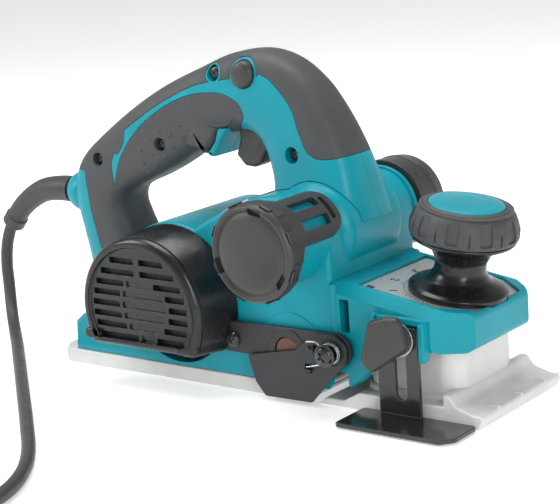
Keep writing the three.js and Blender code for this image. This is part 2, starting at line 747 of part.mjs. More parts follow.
// ---------------------------------------------------------------- handle
/** Stations from the tail up over the bar to the duct: outer x, z, inner x, z and half width. */
const HANDLE_STATIONS = [
  [-137.5, 28, -97, 28, 18], [-141.5, 53, -96, 50, 18], [-145, 70, -100, 68, 18],
  [-148, 85, -107, 83, 18], [-149.5, 98, -110, 91, 18], [-146.5, 111.5, -108, 98, 18],
  [-138, 123.2, -101, 102.5, 18], [-117.7, 138.5, -86, 108.5, 18],
  [-95, 153, -70, 116.2, 18], [-72, 165, -53, 126, 18], [-46.2, 175.4, -36, 134, 18], [-24.9, 183.2,
    -24, 138.5, 18],
  [-5, 185, -14, 139.5, 18], [13, 180, -6, 135, 18], [28, 169.5, -2.5, 128, 18], [37.2, 159, -0.5, 121, 18.3],
  [46, 145.5, 0.9, 114, 19], [53.5, 130, 1.2, 107, 20.5], [59, 114, 0, 101, 23], [64, 96, -3, 94, 26],
];
const SECTION_POWER = 3.4; // 2 is an ellipse, and more is squarer

/** The handle, with its whole outside drawn in by an inset. */
function handleBody(inset = 0, { stations = 18, sides = 12 } = {}) {
  const curve = (first) => new THREE.SplineCurve(HANDLE_STATIONS.map((s) => v2(s[first], s[first + 1])));
  const outer = curve(0);
  const inner = curve(2);
  const widths = new THREE.SplineCurve(HANDLE_STATIONS.map((s) => v2(s[4], 0)));
  const power = (value) => Math.sign(value) * Math.abs(value) ** (2 / SECTION_POWER);
  const rings = Array.from({ length: stations + 1 }, (_, i) => {
    const from = inner.getPoint(i / stations);
    const to = outer.getPoint(i / stations);
    const middle = from.clone().add(to).multiplyScalar(0.5);
    const along = to.sub(from);
    const half = along.length() / 2 - inset;
    const wide = widths.getPoint(i / stations).x - inset;
    along.normalize();
    return Array.from({ length: sides }, (_, k) => {
      const angle = (2 * Math.PI * (k + 0.5)) / sides;
      const reach = half * power(Math.sin(angle));
      return v3(middle.x + along.x * reach, -wide * power(Math.cos(angle)), middle.y + along.y * reach);
    });
  });
  return loft(rings);
}

/** The hook behind the trigger that guards the finger. */
function triggerHook() {
  const corners = [[-50, 129.5], [-41, 127], [-38.5, 125.4], [-35.5, 125.4], [-30.5, 134], [-28, 142],
    [-50, 142]];
  return alongY(outline(corners), -13.5, 13.5, { edge: 2 });
}

/** Side view of the hard part that shows: swoosh, front column and trigger guard. */
function hardRegion() {
  const upper = [
    [-112, 103.3], [-111.9, 117], [-109.5, 124], [-104.9, 125.4], [-101.2, 131.2], [-99.7, 138], [-76.2,
      152.3],
    [-48, 164.7], [-24, 170], [-20, 177], [-10.3, 182.2], [-1, 177], [1.2, 173.1], [8.7, 169.2], [20.5,
      156.2],
    [26.8, 140], [33.1, 130.9], [46, 129.1], [80, 136],
  ];
  const base = [[80, 80], [-4, 80], [-4, 118], [-30, 112], [-41, 127], [-35.2, 133.5]];
  const lower = [
    [-23.3, 137.4], [-14.5, 146], [-12.2, 150.5], [-16, 157.4], [-30.5, 161.8], [-55.7, 158], [-84.4,
      143.1], [-103.6, 123.2],
  ];
  return [...upper, ...base, ...lower].map(([x, z]) => v2(x, z));
}

/** Side view of the hard spine down the back of the handle. */
const spineRegion = () =>
  [[-134.4, 111.7], [-133.5, 100.5], [-131.1, 83.8], [-125, 60.6], [-118, 36], [-118, 20], [-175, 20],
    [-175, 108], [-150, 113]]
    .map(([x, z]) => v2(x, z));

const TRIGGER_PIVOT = { x: -3.5, z: 141 };
const TRIGGER_TRAVEL = 9;
const TRIGGER_HALF = 7;
const LOCK_BUTTON = { x: -10.3, z: 172.7 };
const CORD_EXIT = { x: -150.5, z: 95.3 };

function triggerProfile() {
  return outline([
    [-0.5, 145, 2], [-24, 145], [-24, 134], [-27, 125.5], [-21.5, 119.5, 3], [-14.5, 119, 3], [-9.5,
      121.5, 2], [-3, 131.5, 2],
  ]);
}

/** The room that the trigger sweeps through as it is squeezed. */
function triggerRoom() {
  const half = TRIGGER_HALF + RUNNING;
  const base = alongY(triggerProfile(), -half, half, { grow: 0.5 });
  let room = base;
  for (const angle of [TRIGGER_TRAVEL / 2, TRIGGER_TRAVEL + 0.5]) {
    const turned = base
      .translate([-TRIGGER_PIVOT.x, 0, -TRIGGER_PIVOT.z])
      .rotate([0, angle, 0])
      .translate([TRIGGER_PIVOT.x, 0, TRIGGER_PIVOT.z]);
    room = join(room, turned);
  }
  return room;
}

const HANDLE_SCREWS = {
  rear: { x: -123.3, z: 119.3 },
  middle: { x: -74, z: 130.5 },
  front: { x: 20.5, z: 129.8 },
  top: { x: -32, z: 172.5 },
};

/** Holes through the handle for its screws, lock-off button, trigger and cord. */
function handleCuts() {
  const cuts = Object.values(HANDLE_SCREWS).flatMap((at) => [
    rod(at, SCREW_HEAD + 0.9, -HANDLE_HALF - 2, -HANDLE_HALF + 5.8, 16),
    rod(at, 2.3, -HANDLE_HALF - 2, 13, 8),
  ]);
  cuts.push(rod(LOCK_BUTTON, 7.9, -30, -6, 24));
  cuts.push(triggerRoom());
  cuts.push(box(-180, CORD_EXIT.x + 8, -5.6, 5.6, CORD_EXIT.z - 5.6, CORD_EXIT.z + 5.6));
  return cuts;
}

const cordBall = () => {
  const ball = new THREE.SphereGeometry(12.4, 20, 14);
  ball.translate(CORD_EXIT.x, 0, CORD_EXIT.z);
  return solid(ball);
};

function softGrip() {
  const skin = cut(handleBody(), handleBody(GRIP_THICKNESS));
  const shape = cut(
    skin,
    alongY(hardRegion(), -40, 40),
    alongY(spineRegion(), -40, 40),
    rod(CORD_EXIT, 12.4 + GAP, -40, 40, 24),
    alongY(outline([[-51, 125], [-27, 125], [-27, 143], [-51, 143]]), -13.5 - GAP, 13.5 + GAP),
    bodyEnvelope(GAP),
    ...handleCuts(),
  );
  return shape;
}

/** One of the handle's two hard shells, with its hollow for the switch. */
function handleShell(side) {
  const core = handleBody(GRIP_THICKNESS + GAP);
  const hard = (region) => handleBody().intersect(alongY(region, -40, 40, { grow: -GAP }));
  const hollow = handleBody(GRIP_THICKNESS + HANDLE_CORE, { stations: 14, sides: 6 });
  const shell = cut(
    join(core, hard(hardRegion()), hard(spineRegion()), cordBall(), triggerHook()),
    hollow,
    bodyEnvelope(GAP),
    ...handleCuts(),
  );
  const half = side < 0 ? box(-300, 300, -60, -GAP / 2, -50, 300) : box(-300, 300, GAP / 2, 60, -50, 300);
  return biggest(shell.intersect(half));
}

/** The largest body of a solid, without the loose crumbs that a cut can leave. */
function biggest(shape) {
  return shape.decompose().reduce((best, next) => (next.volume() > best.volume() ? next : best));
}

function trigger() {
  return alongY(triggerProfile(), -TRIGGER_HALF, TRIGGER_HALF, { edge: 1.5 });
}

function switchBody() {
  return join(box(-30, -6, -8.5, 8.5, 152.5, 165), box(-20, -12, -3, 3, 164, 168));
}

function lockButton() {
  return turnedY(LOCK_BUTTON, [[0, -22], [5, -21.6], [7.4, -20.2], [7.4, -13.5], [3, -13.5], [3, -12.5],
    [0, -12.5]], 24);
}

/** A pan-head screw along Y, with its slot cut across the head. */
function screw(at, head, headSide, headHeight, shank, reach) {
  const top = headSide - headHeight;
  const turned = turnedY(at, [[0, top], [head * 0.7, top], [head, headSide - headHeight * 0.4],
    [head, headSide], [shank, headSide], [shank, reach], [0, reach]], 8);
  const across = (w, h) => box(at.x - w, at.x + w, top - 1, top + headHeight * 0.45, at.z - h, at.z + h);
  return cut(turned, across(head * 0.55, 0.45), across(0.45, head * 0.55));
}

// ---------------------------------------------------------------- side guard, guide and wing
function guardArm() {
  const outer = ARM_SIDE - ARM_THICKNESS;
  const band = [
    ...arc({ x: -12, z: 37 }, 4, 90, 180, 30),
    ...arc({ x: -12, z: 27.5 }, 4, 180, 270, 30),
    ...arc(PIVOT, 9.6, -90, 90, 20),
  ];
  return cut(
    join(alongY(band, outer, ARM_SIDE), rod(DRUM, 12.5, outer - 0.8, ARM_SIDE, 32)),
    rod(DRUM, 8.1, outer - 2, ARM_SIDE + 1, 24),
    rod(ARM_SCREW, 2.4, outer - 1, ARM_SIDE + 1, 12),
    rod(PIVOT, 3.2, outer - 1, ARM_SIDE + 1, 12),
  );
}

const GUARD_FACE = ARM_SIDE - ARM_THICKNESS - 1.3;

function bladeGuard() {
  const corners = outline([
    [4.4, 24.3, 1], [9.1, 9.4, 2], [15.1, 2.1, 2], [46.3, 2.6, 2], [52, 9.1, 3], [70.5, 28, 6], [71, 37,
      7], [63, 42.2, 6], [50.3, 42, 3],
    [36.8, 30.6, 4],
  ]);
  return cut(
    alongY(corners, GUARD_FACE - GUARD_THICKNESS, GUARD_FACE),
    rod(PIVOT, 3.3, GUARD_FACE - 3, GUARD_FACE + 1, 16),
    box(44, 48, GUARD_FACE - 3, GUARD_FACE + 1, 20, 24),
  );
}

function guardSpring() {
  const turns = 2;
  const wire = 0.6;
  const radius = 5.4;
  const start = GUARD_FACE - GUARD_THICKNESS - wire - 0.3;
  const points = [];
  for (let i = 0; i <= turns * 10; i += 1) {
    const angle = rad(200 - i * 36);
    const y = start - (i / 10) * 1.45;
    points.push(v3(PIVOT.x + radius * Math.cos(angle), y, PIVOT.z + radius * Math.sin(angle)));
  }
  points.unshift(v3(PIVOT.x - 17, start, PIVOT.z - 9));
  points.push(v3(PIVOT.x - 14, start - turns * 1.45, PIVOT.z + 5));
  return bar(points, wire, 44, 5);
}

function pivotScrew() {
  const underHead = GUARD_FACE - GUARD_THICKNESS - 6.6;
  return screw(PIVOT, 6.4, underHead, 3.4, 3, ARM_SIDE - 0.4);
}

function depthGuide() {
  const outer = GUIDE_SIDE - GUIDE_THICKNESS;
  const { rear, front, top } = GUIDE;
  const plate = box(rear, front, outer, GUIDE_SIDE, 0.5, top);
  const foot = alongZ(outline([[76, RIGHT - 29, 2], [145, RIGHT - 29, 3], [145, GUIDE_SIDE],
    [76, GUIDE_SIDE]]), 0.5, 3);
  const slot = alongY(
    outline([[WING.x - 3.6, 10.8, 3.5], [WING.x + 3.6, 10.8, 3.5], [WING.x + 3.6, top - 2, 3.5],
      [WING.x - 3.6, top - 2, 3.5]]),
    outer - 1,
    GUIDE_SIDE + 1,
  );
  return cut(join(plate, foot), slot);
}

function wingScrew() {
  const seat = GUIDE_SIDE - GUIDE_THICKNESS - GAP;
  const leaf = outline([[91, 55, 5], [85, 32, 5], [92, 27.5, 4], [113, 42, 6], [109.5, 58.5, 4],
    [101, 58.5, 4]]);
  return join(
    rod(WING, 2.9, seat - 1, RIGHT + 7, 12),
    rod(WING, 8, seat - 7, seat, 24),
    alongY(leaf, seat - 12.5, seat - 6.5, { edge: 1.5 }),
  );
}

// ---------------------------------------------------------------- cord
const GUARD_ROUTE = [
  [-162, 0, 95.3], [-170, 0, 95.4], [-185.6, 0, 93.3], [-197.6, 0, 87.8], [-208.4, 0, 79.9], [-217.6, 0,
    69.5],
];
const CORD_ROUTE = [
  [-217.95, 0, 69.1], [-220.2, 0, 66.5], [-224, -0.5, 57], [-225, -2, 45], [-222, -5, 29], [-213.5, -13,
    14], [-201, -24, 6.6],
  [-187, -36.5, 4.3], [-172, -50.5, FLOOR_CORD], [-150, -71, FLOOR_CORD], [-110, -108.5,
    FLOOR_CORD], [-70, -146, FLOOR_CORD],
  [-38, -177, FLOOR_CORD], [-20, -198.5, FLOOR_CORD], [-8, -220, FLOOR_CORD], [-3, -240, FLOOR_CORD],
];
const COIL = { x: -55.6, y: -270, r: 45, width: 23.5, height: 23 };
const LEAVE = 250; // where the plug's end leaves the coil's outer turn, in degrees
const TAIL = 90; // from there, straight on to the plug

/** Tapered strain relief, with its collar. */
function cordGuard() {
  const path = new THREE.CatmullRomCurve3(GUARD_ROUTE.map((p) => v3(...p)), false, 'centripetal');
  const steps = 16;
  const rings = [];
  for (let i = 0; i <= steps; i += 1) {
    const share = i / steps;
    const at = path.getPointAt(share);
    const along = path.getTangentAt(share);
    const side = v3(0, 1, 0);
    const up = along.clone().cross(side).normalize();
    const radius = share > 0.9 ? 7.2 : THREE.MathUtils.lerp(8, 6, share);
    rings.push(Array.from({ length: 14 }, (_, k) => {
      const angle = (2 * Math.PI * k) / 14;
      return at.clone().addScaledVector(side, radius * Math.cos(angle)).addScaledVector(up,
        radius * Math.sin(angle));
    }));
  }
  return join(loft(rings), box(-163, -144.5, -5, 5, CORD_EXIT.z - 5, CORD_EXIT.z + 5));
}

const cord = () => bar(CORD_ROUTE.map((p) => v3(...p)), CORD / 2, 36, 8);

function cordCoil() {
  const { r, width, height } = COIL;
  const [inner, outer] = [r - width / 2, r + width / 2];
  const profile = [[inner, 3], [inner + 3, 0.1], [outer - 3, 0.1], [outer, 3], [outer, height - 4],
    [outer - 4, height], [inner + 4, height], [inner, height - 4], [inner, 3]];
  return turnedZ(profile, 24).translate([COIL.x, COIL.y, 0]);
}

function coilTie() {
  const { r, width, height } = COIL;
  const [inner, outer] = [r - width / 2 - 1, r + width / 2 + GAP];
  const [low, high] = [0.02, height + GAP];
  const band = cut(
    box(-outer - 1.6, -inner + 1.6, -5, 5, low, high + 1.6),
    box(-outer, -inner, -6, 6, low - 1, high),
  );
  return band.translate([COIL.x, COIL.y, 0]);
}

function plug() {
  const body = alongZ(outline([[0, -14, 4], [34, -18, 8], [34, 18, 8], [0, 14, 4]]), 0.5, 15.5, 2);
  const pin = (y) => {
    const stud = new THREE.CylinderGeometry(2, 2, 19.5, 12);
    stud.rotateZ(Math.PI / 2);
    stud.translate(34 + 9, y, 8);
    return solid(stud);
  };
  const outerTurn = COIL.r + CORD;
  const x = COIL.x + outerTurn * Math.cos(rad(LEAVE)) + TAIL * Math.sin(rad(LEAVE));
  const y = COIL.y + outerTurn * Math.sin(rad(LEAVE)) - TAIL * Math.cos(rad(LEAVE));
  return join(body, pin(-9.5), pin(9.5)).rotate([0, 0, LEAVE - 90]).translate([x, y, 0]);
}

// ---------------------------------------------------------------- the planer
place('rear_base', rearBase(), CAST);
place('front_base', frontBase(), CAST);
place('main_housing', mainHousing(), TEAL);
place('scale_plate', scalePlate(), PLATE, knobFrame);
place('nameplate', nameplate(), PLATE);
place('vent_cover', ventCover(), BLACK);
place('belt_cover', beltCover(), BLACK);
place('duct_nozzle', ductNozzle(), DARK);
place('duct_cap', ductCap(), DARK);

place('knob_body', knobBody(), BLACK, knobFrame);
place('knob_grip', knobGrip(), SOFT, knobFrame);
place('knob_cap', knobCap(), TEAL, knobFrame);
place('knob_spindle', knobSpindle(), STEEL, knobFrame);

place('cutter_drum', drum(), STEEL);
place('blade_one', blade(1), STEEL);
place('blade_two', blade(-1), STEEL);
place('blade_clamp_one', bladeClamp(1), DARK);
place('blade_clamp_two', bladeClamp(-1), DARK);
place('drum_bearing_right', ringY(DRUM, 4.2, 7.8, ARM_SIDE - ARM_THICKNESS, ARM_SIDE, 16), COPPER);
place('drum_bearing_left', ringY(DRUM, DRUM_SHAFT + 0.2, 12.8, LEFT + 0.4, LEFT + 7.4, 16), STEEL);
place('driven_pulley', pulley(DRUM, DRIVEN_PULLEY, DRUM_SHAFT), DARK);
place('drive_pulley', pulley(MOTOR, DRIVE_PULLEY, MOTOR_SHAFT), DARK);
place('drive_belt', driveBelt(), CARBON);

place('stator', stator(), STEEL);
place('armature_core', armatureCore(), STEEL);
place('motor_shaft', motorShaft(), STEEL);
place('commutator', ringY(MOTOR, MOTOR_SHAFT + 0.2, 12, RIGHT + 3, RIGHT + 15, 16), COPPER);
place('cooling_fan', fan(), DARK);
place('motor_bearing_right', ringY(MOTOR, MOTOR_SHAFT + 0.2, 10.8, RIGHT - 20, RIGHT - 13, 16), STEEL);
place('motor_bearing_left', ringY(MOTOR, MOTOR_SHAFT + 0.2, 10.8, LEFT + 0.6, LEFT + 7.6, 16), STEEL);
place('fan_baffle', ringY(MOTOR, 20, MOTOR_BORE - GAP, 24.6, 26.6, 24), DARK);
for (const [name, side] of [['upper', 1], ['lower', -1]]) {
  place(`brush_holder_${name}`, brushHolder(side), COPPER);
  place(`carbon_brush_${name}`, carbonBrush(side), CARBON);
}

place('handle_shell_right', handleShell(-1), TEAL);
place('handle_shell_left', handleShell(1), TEAL);
place('soft_grip', biggest(softGrip()), SOFT);
place('switch_body', switchBody(), DARK);
place('trigger', trigger(), DARK);
place('lock_off_button', lockButton(), BLACK);
for (const [name, at] of Object.entries(HANDLE_SCREWS)) {
  place(`handle_screw_${name}`, screw(at, SCREW_HEAD, -HANDLE_HALF + 5.4, 2.6, 2, 12), BLACK);
}

place('guard_arm', guardArm(), BLACK);
place('guard_arm_screw', screw(ARM_SCREW, 4.6, ARM_SIDE - ARM_THICKNESS - GAP, 3, 2.1, RIGHT + 8), BLACK);
place('blade_guard', bladeGuard(), BLACK);
place('guard_spring', guardSpring(), STEEL);
place('guard_pivot_screw', pivotScrew(), BLACK);
place('depth_guide', depthGuide(), BLACK);
place('wing_screw', wingScrew(), DARK);

place('cord_guard', cordGuard(), DARK);
place('cord', cord(), DARK);
place('cord_coil', cordCoil(), DARK);
place('coil_tie', coilTie(), BLACK);
place('plug', plug(), BLACK);

export default planer;
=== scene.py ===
import json
import math

import bmesh
import bpy
from mathutils import Matrix, Vector
from mathutils.bvhtree import BVHTree

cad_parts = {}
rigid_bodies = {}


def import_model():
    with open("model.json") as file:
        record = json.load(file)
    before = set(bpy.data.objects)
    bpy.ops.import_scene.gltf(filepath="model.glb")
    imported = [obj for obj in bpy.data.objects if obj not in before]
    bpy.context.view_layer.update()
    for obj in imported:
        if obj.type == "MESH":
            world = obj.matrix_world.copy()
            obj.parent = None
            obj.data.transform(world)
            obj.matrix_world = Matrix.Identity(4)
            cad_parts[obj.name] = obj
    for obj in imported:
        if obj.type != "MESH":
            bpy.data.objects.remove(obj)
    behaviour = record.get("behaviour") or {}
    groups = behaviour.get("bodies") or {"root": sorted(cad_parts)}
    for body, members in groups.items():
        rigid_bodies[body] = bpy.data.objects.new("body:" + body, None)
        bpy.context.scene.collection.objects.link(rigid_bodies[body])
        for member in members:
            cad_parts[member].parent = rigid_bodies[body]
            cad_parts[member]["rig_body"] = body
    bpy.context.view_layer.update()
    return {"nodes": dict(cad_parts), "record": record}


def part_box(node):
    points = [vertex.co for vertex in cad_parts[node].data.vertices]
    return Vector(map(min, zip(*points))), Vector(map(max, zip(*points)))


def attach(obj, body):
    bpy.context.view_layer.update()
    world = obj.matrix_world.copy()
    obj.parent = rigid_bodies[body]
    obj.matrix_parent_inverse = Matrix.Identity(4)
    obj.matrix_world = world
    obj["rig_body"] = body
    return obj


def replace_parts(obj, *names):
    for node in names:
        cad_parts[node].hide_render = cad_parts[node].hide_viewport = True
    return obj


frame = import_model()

MM = 0.001


def span(node):
    """Lowest and highest corner of a CAD node, in millimetres."""
    low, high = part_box(node)
    return low / MM, high / MM


def axis_of(node):
    """The x and z of a node's middle, for an axis along Y."""
    low, high = span(node)
    return ((low.x + high.x) / 2, (low.z + high.z) / 2)


# ---------------------------------------------------------------- driving dimensions
GAP = 0.3
RIGHT, LEFT = span("rear_base")[0].y, span("rear_base")[1].y
REAR = span("rear_base")[0].x
SOLE_TOP = span("rear_base")[1].z
BODY_FLOOR = SOLE_TOP + GAP
DRUM = axis_of("drum_bearing_left")
MOTOR = axis_of("motor_bearing_left")
DUCT = axis_of("duct_nozzle")
PIVOT = (61.5, 32.6)
WING = (102, 44)
ARM_SCREW = (-7, 31)
MOTOR_CASE = 45
DUCT_RADIUS = 22.4
DUCT_BORE = 19
DUCT_SADDLE = 26.8
CAP_RADIUS = 26.7
CAP_FACE = span("duct_cap")[0].y
CAP_MOUTH = RIGHT - 27.5
CAP_ARM_END = span("duct_cap")[1].y
CAP_ARM_AROUND = 43  # direction of the cap's arm round the duct, in degrees
DUCT_RIGHT_END = RIGHT - 30
DUCT_LEFT_END = LEFT + 5
CUT_RADIUS = 29.5
TILT = 9.1
KNOB = (111.2, 63.3)
PLATE_TOP = -4.2
HOUSING_FRONT = 137
ARM_SIDE = RIGHT - 1.4
ARM_FACE = ARM_SIDE - 3
GUARD_FACE = ARM_FACE - 1.3
GUARD_OUT = GUARD_FACE - 1.6
GUIDE_SIDE = RIGHT - 1.6
GUIDE_OUT = GUIDE_SIDE - 2.5
HANDLE_HALF = 18
GRIP_THICKNESS = 2.4
CORD = 7.5

# ---------------------------------------------------------------- camera
VIEW_AZIMUTH = 37.55
VIEW_ELEVATION = 13.97
VIEW_ROLL = 3.8
VIEW_DISTANCE = 1.0
VIEW_TARGET = Vector((0, 0, 0.06))
VIEW_LENS = 114.28
VIEW_SHIFT = (-0.0170, 0.0318)


def make_camera():
    camera = bpy.data.objects.new("camera", bpy.data.cameras.new("camera"))
    bpy.context.scene.collection.objects.link(camera)
    around, up = math.radians(VIEW_AZIMUTH), math.radians(VIEW_ELEVATION)
    back = Vector((math.sin(around) * math.cos(up), -math.cos(around) * math.cos(up), math.sin(up)))
    camera.location = VIEW_TARGET + back * VIEW_DISTANCE
    facing = (-back).to_track_quat("-Z", "Y").to_matrix() @ Matrix.Rotation(-math.radians(VIEW_ROLL), 3, "Z")
    camera.rotation_mode = "QUATERNION"
    camera.rotation_quaternion = facing.to_quaternion()
    camera.data.lens = VIEW_LENS
    camera.data.shift_x, camera.data.shift_y = VIEW_SHIFT
    bpy.context.scene.camera = camera


make_camera()

# ---------------------------------------------------------------- outlines
def rad(degrees):
    return math.radians(degrees)


def arc(centre, radius, start, end, step=5):
    count = max(1, math.ceil(abs(end - start) / step))
    angles = [rad(start + (end - start) * i / count) for i in range(count + 1)]
    return [(centre[0] + radius * math.cos(a), centre[1] + radius * math.sin(a)) for a in angles]


def outline(corners, step=9):
    """A closed outline through corners (x, y, radius), each rounded by an arc."""
    points = []
    for i, (x, y, *rest) in enumerate(corners):
        corner = Vector((x, y))
        before = Vector(corners[i - 1][:2]) - corner
        after = Vector(corners[(i + 1) % len(corners)][:2]) - corner
        if not rest or rest[0] == 0:
            points.append((x, y))
            continue
        half = before.angle(after) / 2
        run = min(rest[0] / math.tan(half), 0.49 * min(before.length, after.length))
        start = corner + before.normalized() * run
        end = corner + after.normalized() * run
        bisector = (before.normalized() + after.normalized()).normalized()
        centre = corner + bisector * (run / math.cos(half))
        first = math.atan2(start.y - centre.y, start.x - centre.x)
        sweep = math.atan2(end.y - centre.y, end.x - centre.x) - first
        sweep = (sweep + math.pi) % (2 * math.pi) - math.pi
        end_angle = math.degrees(first + sweep)
        points += arc(centre, run * math.tan(half), math.degrees(first), end_angle, step)
    return points


def spline_point(points, share):
    """A point of the uniform Catmull-Rom curve through points."""
    place = share * (len(points) - 1)
    i = min(int(place), len(points) - 2)
    f = place - i
    near = (max(i - 1, 0), i, i + 1, min(i + 2, len(points) - 1))
    p0, p1, p2, p3 = (Vector(points[k]) for k in near)
    v0, v1 = (p2 - p0) / 2, (p3 - p1) / 2
    return (2 * p1 - 2 * p2 + v0 + v1) * f**3 + (3 * p2 - 3 * p1 - 2 * v0 - v1) * f * f + v0 * f + p1


def spline(points, count=40):
    return [tuple(spline_point(points, i / count)) for i in range(count + 1)]


def belt_outline(r1, r2):
    """Round the motor and drum axes, joined by their outer tangents."""
    line = math.degrees(math.atan2(DRUM[1] - MOTOR[1], DRUM[0] - MOTOR[0]))
    spread = math.degrees(math.acos((r1 - r2) / math.dist(MOTOR, DRUM)))
    ends = arc(MOTOR, r1, line + spread, line + 360 - spread)
    return ends + arc(DRUM, r2, line - spread, line + spread)


# ---------------------------------------------------------------- solids
workshop = bpy.data.collections.new("workshop")
bpy.context.scene.collection.children.link(workshop)


def solid(points, faces):
    """A closed mesh with its faces turned outwards."""
    mesh = bpy.data.meshes.new("solid")
    mesh.from_pydata([tuple(p) for p in points], [], faces)
    work = bmesh.new()
    work.from_mesh(mesh)
    bmesh.ops.remove_doubles(work, verts=work.verts, dist=1e-4)
    bmesh.ops.recalc_face_normals(work, faces=work.faces)
    work.to_mesh(mesh)
    work.free()
    made = bpy.data.objects.new("solid", mesh)
    workshop.objects.link(made)
    return made


def combine(first, others, operation):
    """Joins, cuts or meets a solid with others, which are used up."""
    for other in others:
        step = first.modifiers.new("step", "BOOLEAN")
        step.operation = operation
        step.solver = "MANIFOLD"
        step.object = other
        graph = bpy.context.evaluated_depsgraph_get()
        mesh = bpy.data.meshes.new_from_object(first.evaluated_get(graph))
        first.modifiers.clear()
        old, first.data = first.data, mesh
        bpy.data.meshes.remove(old)
        bpy.data.objects.remove(other)
    return first


def join(first, *others):
    return combine(first, others, "UNION")


def cut(first, *others):
    return combine(first, others, "DIFFERENCE")


def meet(first, *others):
    return combine(first, others, "INTERSECT")


def moved(shape, matrix):
    shape.data.transform(matrix)
    return shape


def copy_of(shape):
    twin = bpy.data.objects.new("solid", shape.data.copy())
    workshop.objects.link(twin)
    return twin


def shift(x=0, y=0, z=0):
    return Matrix.Translation((x, y, z))


def turn(degrees, axis="Y"):
    return Matrix.Rotation(rad(degrees), 4, axis)


def about(at, degrees=0):
    """From the origin to an axis along Y, with a turn round it."""
    return shift(at[0], 0, at[1]) @ turn(degrees)


KNOB_FRAME = shift(KNOB[0], 0, KNOB[1]) @ turn(TILT)


def inset(flat, distance):
    """An outline with every side moved inwards by a distance."""
    points = []
    for i, corner in enumerate(flat):
        before = (corner - flat[i - 1]).normalized()
        after = (flat[(i + 1) % len(flat)] - corner).normalized()
        n1, n2 = Vector((before.y, -before.x)), Vector((after.y, -after.x))
        points.append(corner - (n1 + n2) * (distance / max(1 + n1.dot(n2), 0.3)))
    return points


def skin(verts, n):
    """A solid over layers of n points each, closed by the first and the last layer."""
    faces = [tuple(reversed(range(n))), tuple(range(len(verts) - n, len(verts)))]
    for start in range(0, len(verts) - n, n):
        for i in range(n):
            j = (i + 1) % n
            faces.append((start + i, start + j, start + n + j, start + n + i))
    return solid(verts, faces)


PLACES = {
    "X": lambda p, h: (h, p[0], p[1]),
    "Y": lambda p, h: (p[0], h, p[1]),
    "Z": lambda p, h: (p[0], p[1], h),
}


def prism(points, low, high, axis="Y", edge=0.0, grow=0.0, rings=4, both=True):
    """An outline made solid along an axis, with the edges of its ends rounded."""
    flat = [Vector(p[:2]) for p in points]
    flat = [p for i, p in enumerate(flat) if (p - flat[i - 1]).length > 1e-3]
    if sum(a.cross(b) for a, b in zip(flat, flat[1:] + flat[:1])) < 0:
        flat.reverse()
    rounds = [rad(90 * k / rings) for k in range(rings + 1)] if edge else [0]
    layers = [(low + edge * (1 - math.cos(a)), edge * (1 - math.sin(a))) for a in rounds]
    ends = [(high - edge * (1 - math.cos(a)), edge * (1 - math.sin(a))) for a in reversed(rounds)]
    layers += ends if both else [(high, 0)]
    place = PLACES[axis]
    verts = [place(p, h) for h, draw in layers for p in inset(flat, draw - grow)]
    return skin(verts, len(flat))


def block(x0, x1, y0, y1, z0, z1, edge=0.0):
    return prism([(x0, y0), (x1, y0), (x1, y1), (x0, y1)], z0, z1, "Z", edge)


def slab(x0, x1, y0, y1, z0, z1, radius, edge=0.0):
    """A block with its side-view corners rounded."""
    corners = [(x0, z0, radius), (x1, z0, radius), (x1, z1, radius), (x0, z1, radius)]
    return prism(outline(corners), y0, y1, edge=edge)


def turned(profile, at=(0, 0), axis="Y", sides=96):
    """A closed profile of (radius, height) turned about an axis."""
    verts, rings = [], []
    for radius, height in profile:
        if radius < 1e-6:
            rings.append([len(verts)] * sides)
            verts.append(PLACES[axis](at, height))
            continue
        rings.append(range(len(verts), len(verts) + sides))
        for i in range(sides):
            a = 2 * math.pi * i / sides
            around = (at[0] + radius * math.cos(a), at[1] + radius * math.sin(a))
            verts.append(PLACES[axis](around, height))
    faces = []
    for k, layer in enumerate(rings):
        above = rings[(k + 1) % len(rings)]
        for i in range(sides):
            j = (i + 1) % sides
            face = list(dict.fromkeys((layer[i], layer[j], above[j], above[i])))
            if len(face) > 2:
                faces.append(face)
    return solid(verts, faces)


def rod(at, radius, low, high, axis="Y", sides=64, edge=0.0):
    corners = [(0, low), (radius, low, edge), (radius, high, edge), (0, high)]
    return turned(outline(corners, 30), at, axis, sides)


def ring(at, inner, outer, low, high, edge=0.0, sides=96):
    corners = [(inner, low), (outer, low, edge), (outer, high, edge), (inner, high)]
    return turned(outline(corners, 30), at, sides=sides)


def loft(rings):
    """A skin over rings of equal count, closed at both ends."""
    return skin([p for r in rings for p in r], len(rings[0]))


def bar(points, radii, sides=12):
    """A round bar along points, with a radius or a list of radii."""
    line = [Vector(p) for p in points]
    if not isinstance(radii, list):
        radii = [radii] * len(line)
    side = Vector((0, 1, 0))
    rings = []
    for i, (at, radius) in enumerate(zip(line, radii)):
        along = (line[min(i + 1, len(line) - 1)] - line[max(i - 1, 0)]).normalized()
        side = (side - along * side.dot(along)).normalized()
        up = along.cross(side)
        angles = [2 * math.pi * k / sides for k in range(sides)]
        rings.append([at + side * radius * math.cos(a) + up * radius * math.sin(a) for a in angles])
    return loft(rings)


def dome(at, radius, height, axis_turn, place_at):
    """A low round bump for a skin, standing on its own base."""
    steps = [rad(90 * k / 5) for k in range(6)]
    profile = [(0, -0.6), (radius, -0.6)]
    profile += [(radius * math.cos(a), height * math.sin(a)) for a in steps[:-1]] + [(0, height)]
    return moved(turned(profile, at, "Z", 16), shift(*place_at) @ axis_turn)


